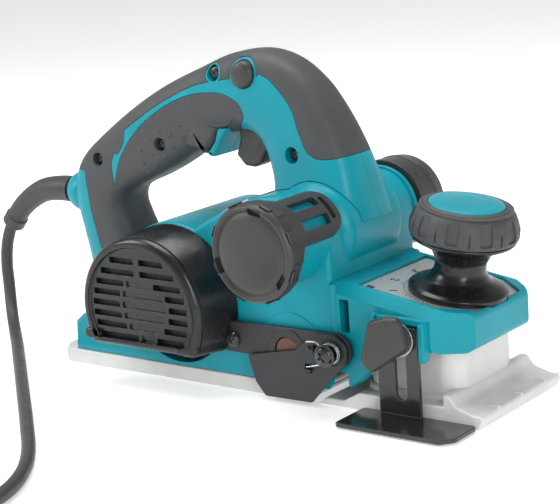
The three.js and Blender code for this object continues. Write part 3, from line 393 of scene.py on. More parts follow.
# ---------------------------------------------------------------- materials
class Paint:
    """A procedural material, built up node by node."""

    def __init__(self, name, colour, roughness, metallic=0.0, **sockets):
        self.material = bpy.data.materials.new(name)
        self.material.use_nodes = True
        self.tree = self.material.node_tree
        self.shader = self.tree.nodes["Principled BSDF"]
        self.shader.inputs["Metallic"].default_value = metallic
        for socket, value in sockets.items():
            self.shader.inputs[socket.replace("_", " ")].default_value = value
        self.base = colour
        self.roughness = roughness
        self.place = self.node("ShaderNodeTexCoord").outputs["Object"]
        self.normal = None
        self.painted_highlight_mask = None

    def node(self, kind, **settings):
        made = self.tree.nodes.new(kind)
        for key, value in settings.items():
            setattr(made, key, value)
        return made

    def feed(self, node, **values):
        for key, value in values.items():
            socket = node.inputs[key.replace("_", " ")]
            if isinstance(value, bpy.types.NodeSocket):
                self.tree.links.new(value, socket)
            else:
                socket.default_value = value
        return node

    def noise(self, size, detail=2.0, stretch=(1, 1, 1), rough=0.5):
        """Noise whose features are about size millimetres, stretched along some axes."""
        mapping = self.feed(self.node("ShaderNodeMapping"), Vector=self.place, Scale=stretch)
        made = self.node("ShaderNodeTexNoise")
        self.feed(made, Vector=mapping.outputs[0], Scale=1 / (size * MM), Detail=detail, Roughness=rough)
        return made.outputs["Fac"]

    def spread(self, value, low, high, to_low, to_high):
        made = self.feed(self.node("ShaderNodeMapRange"), Value=value)
        made.inputs[1].default_value, made.inputs[2].default_value = low, high
        made.inputs[3].default_value, made.inputs[4].default_value = to_low, to_high
        return made.outputs[0]

    def edges(self, radius, samples=5):
        """Rounds the shading of sharp edges and keeps a mask of where they are, which the paints use to
        paint highlights on the edges.
        """
        bevel = self.feed(self.node("ShaderNodeBevel", samples=samples), Radius=radius * MM)
        self.normal = bevel.outputs[0]
        plain = self.node("ShaderNodeNewGeometry").outputs["Normal"]
        dot = self.node("ShaderNodeVectorMath", operation="DOT_PRODUCT")
        self.tree.links.new(self.normal, dot.inputs[0])
        self.tree.links.new(plain, dot.inputs[1])
        self.painted_highlight_mask = self.spread(dot.outputs["Value"], 0.99, 0.85, 0, 1)

    def bump(self, height, strength, depth):
        made = self.feed(self.node("ShaderNodeBump"), Height=height, Strength=strength, Distance=depth * MM)
        if self.normal:
            self.tree.links.new(self.normal, made.inputs["Normal"])
        self.normal = made.outputs[0]

    def colours(self, factor, other):
        """Mixes the base colour with another, by a factor."""
        mix = self.node("ShaderNodeMix", data_type="RGBA")
        self.tree.links.new(factor, mix.inputs[0])
        if isinstance(self.base, bpy.types.NodeSocket):
            self.tree.links.new(self.base, mix.inputs[6])
        else:
            mix.inputs[6].default_value = (*self.base, 1)
        mix.inputs[7].default_value = (*other, 1)
        self.base = mix.outputs[2]

    def done(self, rough_noise=None, rough_span=0.08):
        if isinstance(self.base, bpy.types.NodeSocket):
            self.tree.links.new(self.base, self.shader.inputs["Base Color"])
        else:
            self.shader.inputs["Base Color"].default_value = (*self.base, 1)
        if rough_noise is None:
            self.shader.inputs["Roughness"].default_value = self.roughness
        else:
            low, high = self.roughness - rough_span, self.roughness + rough_span
            self.tree.links.new(self.spread(rough_noise, 0.3, 0.7, low, high),
                                self.shader.inputs["Roughness"])
        if self.normal:
            self.tree.links.new(self.normal, self.shader.inputs["Normal"])
        return self.material


def scaled(colour, share):
    return tuple(min(1.0, c * share) for c in colour)


def moulded(name, colour, roughness, grain, depth, painted_highlight_gain, radius=0.5, **sockets):
    """Moulded plastic or rubber: a fine grain, faint mottling, and a painted highlight that lightens the
    colour along the edges.
    """
    paint = Paint(name, colour, roughness, **sockets)
    paint.edges(radius)
    paint.colours(paint.spread(paint.noise(22, 3), 0.35, 0.65, 0, 1), scaled(colour, 0.9))
    paint.colours(paint.spread(paint.noise(0.9, 2), 0.55, 0.8, 0, 0.5), scaled(colour, 1.12))
    # Painted highlight: the base colour is lightened along the edges.
    paint.colours(paint.painted_highlight_mask, scaled(colour, painted_highlight_gain))
    paint.bump(paint.noise(grain, 3, rough=0.6), 0.35, depth)
    return paint.done(paint.noise(6, 3), 0.06)


def cast_metal():
    """Satin painted casting, with a machined underside that shows its milling marks."""
    colour = (0.7, 0.7, 0.68)
    paint = Paint("cast_aluminium", colour, 0.4, metallic=0.05)
    paint.edges(0.6)
    paint.colours(paint.spread(paint.noise(14, 4), 0.35, 0.7, 0, 1), scaled(colour, 0.93))
    # Painted highlight: the base colour is lightened along the edges.
    paint.colours(paint.painted_highlight_mask, scaled(colour, 1.25))
    paint.bump(paint.noise(0.7, 3), 0.25, 0.05)
    paint.bump(paint.noise(0.5, 1, stretch=(0.02, 1, 1)), 0.18, 0.05)
    return paint.done(paint.noise(3, 3), 0.07)


def ground_metal(name, colour, roughness, stretch, metallic=0.95):
    """Turned, ground or brushed metal: streaks along one direction."""
    paint = Paint(name, colour, roughness, metallic=metallic)
    paint.edges(0.3)
    streaks = paint.noise(0.4, 2, stretch=stretch)
    paint.colours(paint.spread(streaks, 0.4, 0.7, 0, 0.6), scaled(colour, 0.8))
    # Painted highlight: the base colour is lightened along the edges.
    paint.colours(paint.painted_highlight_mask, scaled(colour, 1.2))
    paint.bump(streaks, 0.2, 0.03)
    return paint.done(streaks, 0.08)


def coated_steel():
    """Black coated sheet steel, with fine scuffs that lie along the sheet."""
    colour = (0.012, 0.013, 0.014)
    paint = Paint("black_steel", colour, 0.2, Coat_Weight=0.35, Coat_Roughness=0.12)
    paint.edges(0.5)
    paint.colours(paint.spread(paint.noise(0.5, 2, stretch=(0.05, 1, 1)), 0.66, 0.8, 0, 0.5),
                  (0.05, 0.05, 0.05))
    # Painted highlight: the black is lightened to grey along the edges.
    paint.colours(paint.painted_highlight_mask, (0.11, 0.115, 0.12))
    paint.bump(paint.noise(1.6, 3), 0.15, 0.05)
    return paint.done(paint.noise(4, 3), 0.06)


TEAL_COLOUR = (0.0, 0.3, 0.375)
# In the moulded paints, the number after the grain depth sets how much the painted edge highlight lightens
# the colour.
PAINTS = {
    "teal_plastic": moulded("teal_plastic", TEAL_COLOUR, 0.36, 0.45, 0.02, 1.3, Specular_IOR_Level=0.3),
    "soft_rubber": moulded("soft_rubber", (0.058, 0.06, 0.063), 0.56, 0.4, 0.05, 1.5),
    "black_plastic": moulded("black_plastic", (0.009, 0.0095, 0.01), 0.25, 0.5, 0.015, 2.6),
    "dark_plastic": moulded("dark_plastic", (0.04, 0.039, 0.038), 0.4, 0.4, 0.03, 1.8),
    "cast_aluminium": cast_metal(),
    "bright_steel": ground_metal("bright_steel", (0.52, 0.53, 0.54), 0.3, (1, 0.05, 1)),
    "black_steel": coated_steel(),
    "copper": ground_metal("copper", (0.16, 0.085, 0.06), 0.45, (1, 0.1, 1), metallic=0.7),
    "scale_metal": ground_metal("scale_metal", (0.62, 0.63, 0.62), 0.34, (1, 0.05, 1), metallic=0.6),
    "belt_rubber": moulded("belt_rubber", (0.02, 0.02, 0.02), 0.7, 0.6, 0.05, 1.4),
    "carbon": moulded("carbon", (0.03, 0.03, 0.03), 0.55, 0.3, 0.03, 1.5),
    "cord_rubber": moulded("cord_rubber", (0.042, 0.043, 0.046), 0.5, 0.5, 0.03, 1.4, radius=0.3),
}
GUARD_PLASTIC = moulded("guard_plastic", (0.024, 0.025, 0.026), 0.42, 0.4, 0.03, 2.2)
INK = moulded("ink", (0.02, 0.022, 0.024), 0.5, 0.4, 0.005, 1.2, radius=0.05)

SLOTS = {row["node"]: row["material_slot"] for row in frame["record"]["subparts"]}


# ---------------------------------------------------------------- placing
def add(name, shape, node, paint=None, slot=None, sharp=32):
    """Makes a solid a finished piece that rides with a CAD node."""
    mesh = shape.data
    mesh.transform(Matrix.Scale(MM, 4))
    mesh.polygons.foreach_set("use_smooth", [True] * len(mesh.polygons))
    mesh.set_sharp_from_angle(angle=rad(sharp))
    shape.modifiers.new("flat faces", "WEIGHTED_NORMAL").keep_sharp = True
    mesh.materials.clear()
    mesh.materials.append(paint or PAINTS[slot or SLOTS[node]])
    shape.name = mesh.name = name
    workshop.objects.unlink(shape)
    bpy.context.scene.collection.objects.link(shape)
    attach(shape, frame["nodes"][node]["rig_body"])
    return shape


def put(shape, node, name=None, **looks):
    """Makes a solid the finished piece that stands for a CAD node."""
    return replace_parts(add(name or node + "_fine", shape, node, **looks), node)


# ---------------------------------------------------------------- cord
GUARD_ROUTE = [
    (-162, 0, 95.3), (-170, 0, 95.4), (-185.6, 0, 93.3), (-197.6, 0, 87.8), (-208.4, 0, 79.9),
    (-217.6, 0, 69.5),
]
FLOOR_CORD = CORD / 2 + 0.05
CORD_ROUTE = [
    (-217.95, 0, 69.1), (-220.2, 0, 66.5), (-224, -0.5, 57), (-225, -2, 45), (-222, -5, 29),
    (-213.5, -13, 14), (-201, -24, 6.6), (-187, -36.5, 4.3), (-172, -50.5, FLOOR_CORD),
    (-150, -71, FLOOR_CORD), (-110, -108.5, FLOOR_CORD), (-70, -146, FLOOR_CORD),
    (-38, -177, FLOOR_CORD), (-20, -198.5, FLOOR_CORD), (-8, -220, FLOOR_CORD), (-3, -240, FLOOR_CORD),
]
COIL = (-55.6, -270)
COIL_RADIUS = 45
PITCH = CORD + 0.1
LEAVE = 250  # where the plug's end leaves the coil, in degrees
TAIL = 90
# Turns at which the winding steps to the next column or layer: (from, to, column, layer)
STEPS = [
    (0.78, 1.0, 0, 0), (1.78, 2.0, -1, 0), (2.56, 2.78, -1, 1), (3.34, 3.56, 0, 1),
    (4.34, 4.56, 1, 1), (5.12, 5.34, 1, 2),
]


def centripetal(points, step):
    """Points about a step apart on the centripetal Catmull-Rom curve through points."""
    line = [Vector(p) for p in points]
    line = [2 * line[0] - line[1], *line, 2 * line[-1] - line[-2]]
    made = []
    for p0, p1, p2, p3 in zip(line, line[1:], line[2:], line[3:]):
        d0, d1, d2 = (math.sqrt((b - a).length) for a, b in ((p0, p1), (p1, p2), (p2, p3)))
        v1 = ((p1 - p0) / d0 - (p2 - p0) / (d0 + d1) + (p2 - p1) / d1) * d1
        v2 = ((p2 - p1) / d1 - (p3 - p1) / (d1 + d2) + (p3 - p2) / d2) * d1
        count = max(1, round((p2 - p1).length / step))
        for i in range(count):
            f = i / count
            bend = (3 * p2 - 3 * p1 - 2 * v1 - v2) * f * f
            made.append((2 * p1 - 2 * p2 + v1 + v2) * f**3 + bend + v1 * f + p1)
    return made + [line[-2]]


def eased(share):
    share = min(1.0, max(0.0, share))
    return share * share * (3 - 2 * share)


def coil_point(turns):
    """Where the winding is after so many clockwise turns."""
    column, layer = 1.0, 0.0
    for start, end, to_column, to_layer in STEPS:
        share = eased((turns - start) / (end - start))
        column += (to_column - column) * share
        layer += (to_layer - layer) * share
    radius, angle = COIL_RADIUS + PITCH * column, -2 * math.pi * turns
    height = FLOOR_CORD + PITCH * layer
    return Vector((COIL[0] + radius * math.cos(angle), COIL[1] + radius * math.sin(angle), height))


def cord_line():
    line = centripetal([*CORD_ROUTE[:-1], CORD_ROUTE[-1], (CORD_ROUTE[-1][0], COIL[1] + 6, FLOOR_CORD)], 2.5)
    last_turn = 6 + (360 - LEAVE) / 360
    count = round(last_turn * 72)
    line += [coil_point(last_turn * i / count) for i in range(count + 1)]
    start = line[-1]
    along = Vector((math.sin(rad(LEAVE)), -math.cos(rad(LEAVE)), 0))
    for i in range(1, 31):
        share = i / 30
        drop = (start.z - 8) * eased((share - 0.2) / 0.8)
        line.append(start + along * (TAIL + 3) * share - Vector((0, 0, drop)))
    return line


def make_cord():
    line = cord_line()
    curve = bpy.data.curves.new("mains_cord", "CURVE")
    curve.dimensions = "3D"
    curve.bevel_depth = CORD / 2 * MM
    curve.bevel_resolution = 5
    curve.use_fill_caps = True
    path = curve.splines.new("POLY")
    path.points.add(len(line) - 1)
    for point, at in zip(path.points, line):
        point.co = (*(at * MM), 1)
    path.use_smooth = True
    made = bpy.data.objects.new("mains_cord", curve)
    bpy.context.scene.collection.objects.link(made)
    made.data.materials.append(PAINTS["cord_rubber"])
    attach(made, "planer")
    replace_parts(made, "cord", "cord_coil")
    length = sum((b - a).length for a, b in zip(line, line[1:])) * MM
    return made, length


def make_plug():
    """Two-pin plug with a ribbed grip and a tapered sleeve for the cord."""
    body = prism(outline([(0, -13, 4), (14, -14, 6), (34, -17.6, 7), (34, 17.6, 7), (14, 14, 6),
                          (0, 13, 4)]),
                 0.6, 15.4, "Z", 3.2)
    for i in range(5):
        groove = [block(4 + 4 * i, 5.6 + 4 * i, s * 18 - 3.4, s * 18 + 3.4, -1, 17) for s in (-1, 1)]
        body = cut(body, *groove)
    for y in (-9.5, 9.5):
        body = join(body, rod((y, 8), 2, 33, 52.4, "X", 24, 0.8))
        body = join(body, rod((y, 8), 2.25, 33, 43, "X", 24, 0.2))
    sleeve = bar([(-2, 0, 8), (4, 0, 8)], [5.2, 6.4], 24)
    outer = COIL_RADIUS + PITCH
    x = COIL[0] + outer * math.cos(rad(LEAVE)) + TAIL * math.sin(rad(LEAVE))
    y = COIL[1] + outer * math.sin(rad(LEAVE)) - TAIL * math.cos(rad(LEAVE))
    shape = moved(join(body, sleeve), shift(x, y, 0) @ turn(LEAVE - 90, "Z"))
    return put(shape, "plug", "mains_plug", paint=PAINTS["cord_rubber"])


def make_tie():
    """Strap round the coil."""
    low, high = span("coil_tie")
    band = slab(low.x, high.x, low.y, high.y, low.z, high.z, 3.5, 0.6)
    band = cut(band, slab(low.x + 1.5, high.x - 1.5, low.y - 1, high.y + 1, low.z + 1.2, high.z - 1.5, 2.5))
    return put(band, "coil_tie", "cord_tie")


def make_cord_guard():
    """Tapered strain relief with a collar at its end."""
    line = centripetal(GUARD_ROUTE, 0.8)
    count = len(line) - 1
    radii = []
    for i in range(count + 1):
        share = i / count
        radii.append(7.2 if share > 0.9 else 8 - 2 * share)
    radii[-1] -= 0.6
    shape = join(bar(line, radii, 40), block(-163, -148, -5, 5, 90.3, 100.3))
    return put(shape, "cord_guard")


plug = make_plug()
tie = make_tie()
cord, cord_length = make_cord()
make_cord_guard()
print("cord length", round(cord_length, 4))


# ---------------------------------------------------------------- sole
def drum_room(low=RIGHT - 1, high=LEFT + 1):
    return rod(DRUM, CUT_RADIUS, low, high, sides=128)


def make_rear_base():
    plan = [(REAR, RIGHT + 9, 1), (REAR + 6, RIGHT, 1), (DRUM[0], RIGHT), (DRUM[0], LEFT),
            (REAR + 6, LEFT, 1), (REAR, LEFT - 9, 1)]
    plate = prism(outline(plan), 0, SOLE_TOP, "Z", 0.9)
    return put(cut(plate, drum_room()), "rear_base")


def make_front_base():
    """Front sole with its turned-up lip, and the casting that carries it up into the housing."""
    lip = [(DRUM[0], 0), (145, 0, 1), (147.5, 4, 2), (147.5, 7.4, 1.6), (142, 7.2, 2), (131.5, 10.2, 6),
           (128, 15.6, 3), (124, 15.6), (124, 9.5), (72, 9.5), (62, 4.2), (DRUM[0], 4.2)]
    sole = prism(outline(lip), RIGHT, LEFT, edge=1.1)
    plan = outline([(70, RIGHT + 10, 11), (128, RIGHT + 10, 11), (128, LEFT - 4, 22), (70, LEFT - 4, 11)])
    casting = prism(plan, 4, 44, "Z", 1)
    foot = prism(inset([Vector(p) for p in plan], -2.2), 6, 12.6, "Z", 2.2)
    body = join(sole, casting, foot)
    for y in (RIGHT + 18, 0, LEFT - 16):
        body = join(body, slab(141, 147.2, y - 0.9, y + 0.9, 5, 8.3, 0.8, 0.4))
    body = cut(body, moved(block(-80, 260, -2.2, 2.2, -2.2, 2.2), turn(45, "X")))
    bore = moved(rod((0, 0), 5.4, -70, 0, "Z", 48), KNOB_FRAME)
    pocket = prism(outline([(74, RIGHT + 14, 7), (124, RIGHT + 14, 7), (124, LEFT - 8, 18),
                            (74, LEFT - 8, 7)]),
                   12, 50, "Z")
    boss = moved(rod((0, 0), 10, -53, -22, "Z", 48), KNOB_FRAME)
    body = cut(join(cut(body, pocket), boss), bore, drum_room(), block(-60, 34, -60, 60, -1, 20))
    lean = (math.sin(rad(TILT)) * 4, math.cos(rad(TILT)) * 4)
    body = cut(body, rod((DRUM[0] - lean[0], DRUM[1] - lean[1]), CUT_RADIUS, RIGHT - 1, LEFT + 1, sides=128))
    return put(body, "front_base")


# ---------------------------------------------------------------- body
def tilted(x, up=0.0):
    """Height at x of a plane square to the knob's axis."""
    return KNOB[1] + (up - (x - KNOB[0]) * math.sin(rad(TILT))) / math.cos(rad(TILT))


def hump():
    """Top of the body between the duct and the motor's barrel."""
    return spline([(31.6, 112.3), (18, 111.6), (4, 108), (-14, 100.5), (-25, 94.8), (-34.6, 89.3)], 30)


def body_profile():
    tail = REAR + 13.5
    duct_front = DUCT[0] + DUCT_RADIUS
    corners = outline([
        (tail, BODY_FLOOR), (62.2, BODY_FLOOR, 4), (76, 17, 8), (97, 37.5, 6), (HOUSING_FRONT, 36, 5),
        (HOUSING_FRONT, tilted(HOUSING_FRONT - 0.5, PLATE_TOP + 1.6), 5),
        (duct_front, tilted(duct_front, PLATE_TOP + 1.6)),
    ])
    return [*corners, *arc(DUCT, DUCT_RADIUS, 0, 95), *hump()[1:-1], *arc(MOTOR, MOTOR_CASE, 70, 180, 4),
            (MOTOR[0] - MOTOR_CASE, 34), (tail + 7, 30.5), (tail + 1.3, 26)]


def saddle(gap=0.0):
    """Fatter middle of the duct, which the handle stands on."""
    low, high = RIGHT + 8.5 - gap, LEFT - 8.5 + gap
    thin, fat = DUCT_RADIUS + gap, DUCT_SADDLE + gap
    return turned(outline([
        (0, low), (thin, low), (thin, low + 5, 6), (fat, low + 9.5, 6), (fat, high - 9.5, 6),
        (thin, high - 5, 6), (thin, high), (0, high),
    ]), DUCT)


def body_envelope(gap=0.0):
    return join(prism(body_profile(), RIGHT - gap, LEFT + gap, edge=3, grow=gap, rings=6), saddle(gap))


def guide_rails():
    """The rim on the body's side that the depth guide slides between."""
    low = RIGHT - 4.6
    rails = slab(84.6, 87.6, low, RIGHT + 1, 39, 56, 1.2, 0.8)
    rails = join(rails, slab(113.4, 117, low, RIGHT + 1, 32.5, 53, 1.2, 0.8))
    return join(rails, slab(86, 116, RIGHT - 2.6, RIGHT + 1, 51.2, 55, 1.4, 0.8))


def plate_outline(gap=0.0):
    """Plan of the scale plate in the knob's frame, with its two front corners cut off."""
    rear, front, side, lead = -41.2 - gap, 24.2 + gap, LEFT - 7.8 + gap, LEFT - 19 + gap
    return [(rear, -side), (7.9, -side), (front, -lead), (front, lead), (7.9, side), (rear, side)]


def make_housing():
    wall = prism(belt_outline(MOTOR_CASE - 3, DRUM[1] - BODY_FLOOR), LEFT - 4, LEFT + 4, edge=1)
    outside = join(
        body_envelope(),
        rod(DUCT, DUCT_RADIUS, DUCT_RIGHT_END, DUCT_LEFT_END, sides=128, edge=0.6),
        cut(wall, block(-200, 200, LEFT - 9, LEFT + 9, -20, BODY_FLOOR)),
        rod(MOTOR, 14.5, LEFT, LEFT + 8, sides=48),
        rod(DRUM, 16.5, LEFT, LEFT + 8, sides=48),
        guide_rails(),
        ring(DUCT, DUCT_RADIUS - 1, DUCT_RADIUS + 1.5, LEFT + 0.4, LEFT + 3.4, 0.9),
    )
    outside = join(
        outside,
        slab(57.2, 60.4, RIGHT - 0.8, RIGHT + 3, 41, 68, 1.2, 0.7),
        slab(64.2, 66, RIGHT - 0.8, RIGHT + 2, 62.5, 68, 0.8, 0.5),
        block(REAR + 15, DRUM[0], RIGHT + 0.3, LEFT - 0.3, BODY_FLOOR, BODY_FLOOR + 5, 0.4),
    )
    top = PLATE_TOP + 1.6
    for side in (1, -1):
        corner = [(y * side, z) for y, z in ((LEFT + 2, top - 8), (LEFT + 2, top + 2), (LEFT - 7, top + 2))]
        outside = cut(outside, moved(prism(corner, -50, 45, "X"), KNOB_FRAME))
    plate_seat = prism(plate_outline(0.3), PLATE_TOP - 1.3, 6, "Z")
    for side in (1, -1):
        corner = [(117, side * (LEFT + 1)), (140, side * (LEFT + 1)), (140, side * (LEFT - 16))]
        outside = cut(outside, prism(corner, 20, 90, "Z"))
    shoe_room = prism([(65.5, 0), (133.8, 0), (133.8, tilted(133.8, -9.5)), (65.5, tilted(65.5, -9.5))],
                      RIGHT + 3.2, LEFT - 3.2)
    room_plan = [(60, RIGHT), (108.4, RIGHT), (136, RIGHT + 19), (136, LEFT - 19), (108.4, LEFT), (60, LEFT)]
    shoe_room = meet(shoe_room, prism(room_plan, -1, 90, "Z"))
    body = cut(
        outside,
        rod(MOTOR, 36, RIGHT - 1, LEFT - 3, sides=96),
        rod(DRUM, CUT_RADIUS, RIGHT - 1, LEFT, sides=128),
        block(DRUM[0], 66, RIGHT - 1, LEFT, BODY_FLOOR - 1, 20),
        prism([(16, 48), (48, 48), (51, 88), (20, 88)], RIGHT + 5, LEFT - 5),
        rod(DUCT, DUCT_BORE, DUCT_RIGHT_END - 1, DUCT_LEFT_END + 1, sides=96),
        shoe_room,
        moved(plate_seat, KNOB_FRAME),
        moved(rod((0, 0), 5.4, -30, 2, "Z", 48), KNOB_FRAME),
        moved(rod((0, 0), 27.1, -4.2, 6, "Z", 96), KNOB_FRAME),
        slab(62.7, 68.6, RIGHT - 1, RIGHT + 12, 42, 60, 1),
        rod(MOTOR, 11.1, LEFT + 0.4, LEFT + 9),
        rod(MOTOR, 7, LEFT - 5, LEFT + 2),
        rod(DRUM, 13.1, LEFT - 1, LEFT + 9),
        rod(ARM_SCREW, 2.4, RIGHT - 1, RIGHT + 9, sides=24),
        rod(WING, 3.2, RIGHT - 6, RIGHT + 9, sides=24),
    )
    return put(join(body, drum_end_wall()), "main_housing")


def drum_end_wall():
    """Round boss that closes the drum's tunnel, behind the guard's arm."""
    wall = join(rod(DRUM, CUT_RADIUS + 1, RIGHT, RIGHT + 0.3, sides=128),
                rod(DRUM, 20.5, RIGHT - 0.7, RIGHT + 0.2, sides=128, edge=0.6))
    return cut(wall, rod(DRUM, 10, RIGHT - 2, RIGHT + 1),
               block(-20, 80, RIGHT - 2, RIGHT + 1, -10, BODY_FLOOR + 0.1))


def make_scale_plate():
    low, high = PLATE_TOP - 1, PLATE_TOP
    plate = cut(prism(plate_outline(), low, high, "Z", 0.15), rod((0, 0), 9, -20, 5, "Z"))
    put(moved(plate, KNOB_FRAME), "scale_plate")
    add("scale_marks", moved(scale_marks(), KNOB_FRAME), "scale_plate", paint=INK)


def numeral(text, size, x, y, degrees):
    """A raised figure that lies on the plate."""
    letters = bpy.data.curves.new("figure", "FONT")
    letters.body = text
    letters.size = size
    letters.extrude = 0.09
    letters.offset = 0.12
    letters.align_x = letters.align_y = "CENTER"
    letters.resolution_u = 3
    shown = bpy.data.objects.new("figure", letters)
    workshop.objects.link(shown)
    graph = bpy.context.evaluated_depsgraph_get()
    mesh = bpy.data.meshes.new_from_object(shown.evaluated_get(graph))
    bpy.data.objects.remove(shown)
    mesh.transform(shift(x, y, PLATE_TOP + 0.05) @ turn(degrees, "Z"))
    return mesh


FIGURE_RADIUS = 35


def scale_marks():
    """Figures and tick lines round the knob, and the plate's small zero mark."""
    marks = bmesh.new()
    for text, around in (("1", 225), ("2", 196), ("3", 163), ("4", 138)):
        x, y = (FIGURE_RADIUS * part for part in (math.cos(rad(around)), math.sin(rad(around))))
        mesh = numeral(text, 6.4, x, y, around + 90)
        marks.from_mesh(mesh)
        bpy.data.meshes.remove(mesh)
    shape = bpy.data.meshes.new("marks")
    marks.to_mesh(shape)
    marks.free()
    lines = bpy.data.objects.new("marks", shape)
    workshop.objects.link(lines)
    ticks = []
    for i in range(24):
        around = 130 + i * 6
        long = i % 6 == 0
        inner, outer = 27.6, 30.6 if long else 29.2
        tick = block(inner, outer, -0.2, 0.2, PLATE_TOP - 0.04, PLATE_TOP + 0.12)
        ticks.append(moved(tick, turn(around, "Z")))
    ticks.append(block(-38.5, -34.2, RIGHT + 11, RIGHT + 14, PLATE_TOP - 0.04, PLATE_TOP + 0.12))
    with bpy.context.temp_override(active_object=lines, selected_editable_objects=[lines, *ticks]):
        bpy.ops.object.join()
    return lines


def make_nameplate():
    """Blank metal plate on the hump between the duct and the motor's barrel."""
    line = [p for p in hump() if -34 < p[0] < -1]
    top = [(x - 0.5, z + 1) for x, z in line]
    under = [(x + 0.3, z - 0.6) for x, z in reversed(line)]
    return put(prism(top + under, -30, 32, edge=0.3), "nameplate")


# ---------------------------------------------------------------- vent cover
VENT_RIM = -66.5
VENT_END = (-57, 45.5)
VENT_END_RADIUS = 42
VENT_FLAT = 24


def vent_ring(share, y, draw=0.0, steps=72):
    """D-shaped section at a share of the cover's depth, drawn in by some millimetres."""
    x = MOTOR[0] + (VENT_END[0] - MOTOR[0]) * share
    z = MOTOR[1] + (VENT_END[1] - MOTOR[1]) * share
    radius = 44.4 + (VENT_END_RADIUS - 44.4) * share - draw
    dip = math.degrees(math.asin((z - VENT_FLAT - draw) / radius))
    return [Vector((px, y, pz)) for px, pz in arc((x, z), radius, -dip, 180 + dip,
                                                  (180 + 2 * dip) / steps * 1.0001)]


def rounded_rim(draw, bead, mouth, rim):
    """Rings down to a rim that turns inwards over a bead."""
    depth = mouth - rim
    rings = [vent_ring(s, mouth - s * depth, draw) for s in (0, 0.3, 0.6, 1 - bead / depth)]
    for degrees in range(15, 91, 15):
        back = bead * (1 - math.sin(rad(degrees)))
        inwards = bead * (1 - math.cos(rad(degrees)))
        rings.append(vent_ring(1 - back / depth, rim + back, draw + inwards))
    return loft(rings)


# Each louvre's height, and where its left part ends and its right part starts
VENT_ROWS = [(74.0, -2, 2), (67.3, -2, 2), (60.9, -10.4, 11.4), (54.9, -13.5, 19.3), (48.6, -14.3, 21.5),
             (42.4, -13.5, 20.8), (36.3, -10.4, 17), (29.9, -2, 11.3)]


def vent_cover():
    mouth, rim = RIGHT - GAP, VENT_RIM
    shell = rounded_rim(0, 3.4, mouth, rim)
    hollow = loft([vent_ring(0, mouth + 1, 2.6), vent_ring(0.88, rim + 4.6, 2.6)])
    face = loft([vent_ring(1, rim - 1, 4.6), vent_ring(1, rim + 0.6, 4.8), vent_ring(1, rim + 1.8, 5.6)])
    groove = cut(loft([vent_ring(0.86, rim + 4.6, -1), vent_ring(0.9, rim + 3.7, -1)]),
                 loft([vent_ring(0.84, rim + 5, 0.5), vent_ring(0.92, rim + 3, 0.5)]))
    seat = rod(MOTOR, 14, rim + 2.4, rim + 13, sides=64)
    plan = [(-31, rim - 0.6, 1), (-18.5, rim - 0.6, 4), (-12.4, ARM_FACE - 4.5, 3),
            (-12.4, ARM_FACE - 0.5, 1),
            (-31, ARM_FACE - 0.5, 1)]
    front_lug = join(prism(outline(plan), 24, 38.8, "Z", edge=2.4),
                     block(-31, -16.3, ARM_FACE - 4, mouth, 24.4, 38))
    rear_lug = prism(outline([(-98, 27, 2.6), (-98, 33, 2.6), (-87, 33, 1), (-87, 27, 1)]), rim - 1, mouth,
                     edge=1)
    notch = block(-16 - GAP, 10, ARM_FACE - GAP, RIGHT + 1, 10, 41 + GAP)
    wall = meet(copy_of(shell), block(-19, 10, RIGHT - 8.6, mouth, 10, 44))
    cover = cut(join(shell, front_lug, rear_lug), hollow, face, groove)
    cover = cut(join(cover, seat, wall), notch, rod(MOTOR, 11.1, rim + 3, rim + 14))
    ridge = cut(loft([vent_ring(0.86, rim + 5.6, -0.6), vent_ring(0.8, rim + 7.2, -0.6)]),
                loft([vent_ring(0.88, rim + 5, 1.2), vent_ring(0.78, rim + 8, 1.2)]))
    cover = join(cover, meet(ridge, block(-40, 0, -80, RIGHT, 40, 72)))
    for z, left, right in VENT_ROWS:
        half = math.sqrt((VENT_END_RADIUS - 7.5) ** 2 - (z - VENT_END[1]) ** 2)
        for x0, x1 in ((-half, left), (right, half)):
            louvre = slab(VENT_END[0] + x0, VENT_END[0] + x1, rim - 3, rim + 5.2, z - 1.75, z + 1.75, 0.9)
            cover = cut(cover, louvre)
        if right > 5:
            dent = slab(VENT_END[0] + left + 2, VENT_END[0] + right - 2, rim - 3, rim + 2.9, z - 1.75,
                        z + 1.75, 0.9)
            cover = cut(cover, dent)
    screen = cut(loft([vent_ring(0.85, rim + 5.4, 4), vent_ring(0.85, rim + 5.8, 4)]),
                 rod(MOTOR, 14.2, rim, rim + 9))
    add("vent_screen", screen, "vent_cover", slot="carbon")
    return put(cover, "vent_cover")


def belt_cover():
    """Belt cover with a raised panel, cooling ribs and its three screws."""
    low, high = LEFT + 4 + GAP, LEFT + 4 + 24.5

    def shape(draw):
        return belt_outline(30 - draw, DRUM[1] - 3 - draw)

    cover = prism(shape(0), low - 6, high - 1.2, edge=4, rings=6)
    cover = join(cover, prism(shape(6), high - 6, high, edge=1.2))
    cover = cut(cover, prism(shape(2.4), low - 8, high - 3.4), block(-200, 200, low - 20, low, -50, 150))
    for i in range(5):
        x = -24 + i * 6.5
        cover = cut(cover, slab(x - 1.2, x + 1.2, high - 0.8, high + 1, 28, 52, 1.1))
    put(cover, "belt_cover")
    heads = [(-70, 47), (-22, 20), (48, 30)]
    for i, at in enumerate(heads):
        head = turned(outline([(0, high - 2), (3.6, high - 2), (3.6, high - 0.6, 0.5), (0, high - 0.1, 6)]),
                      at)
        for degrees in (30, 120):
            cross = slab(-2, 2, high - 1, high + 1, -0.4, 0.4, 0.1)
            head = cut(head, moved(cross, about(at, degrees)))
        add(f"belt_cover_screw_{i + 1}", head, "belt_cover", slot="black_steel")


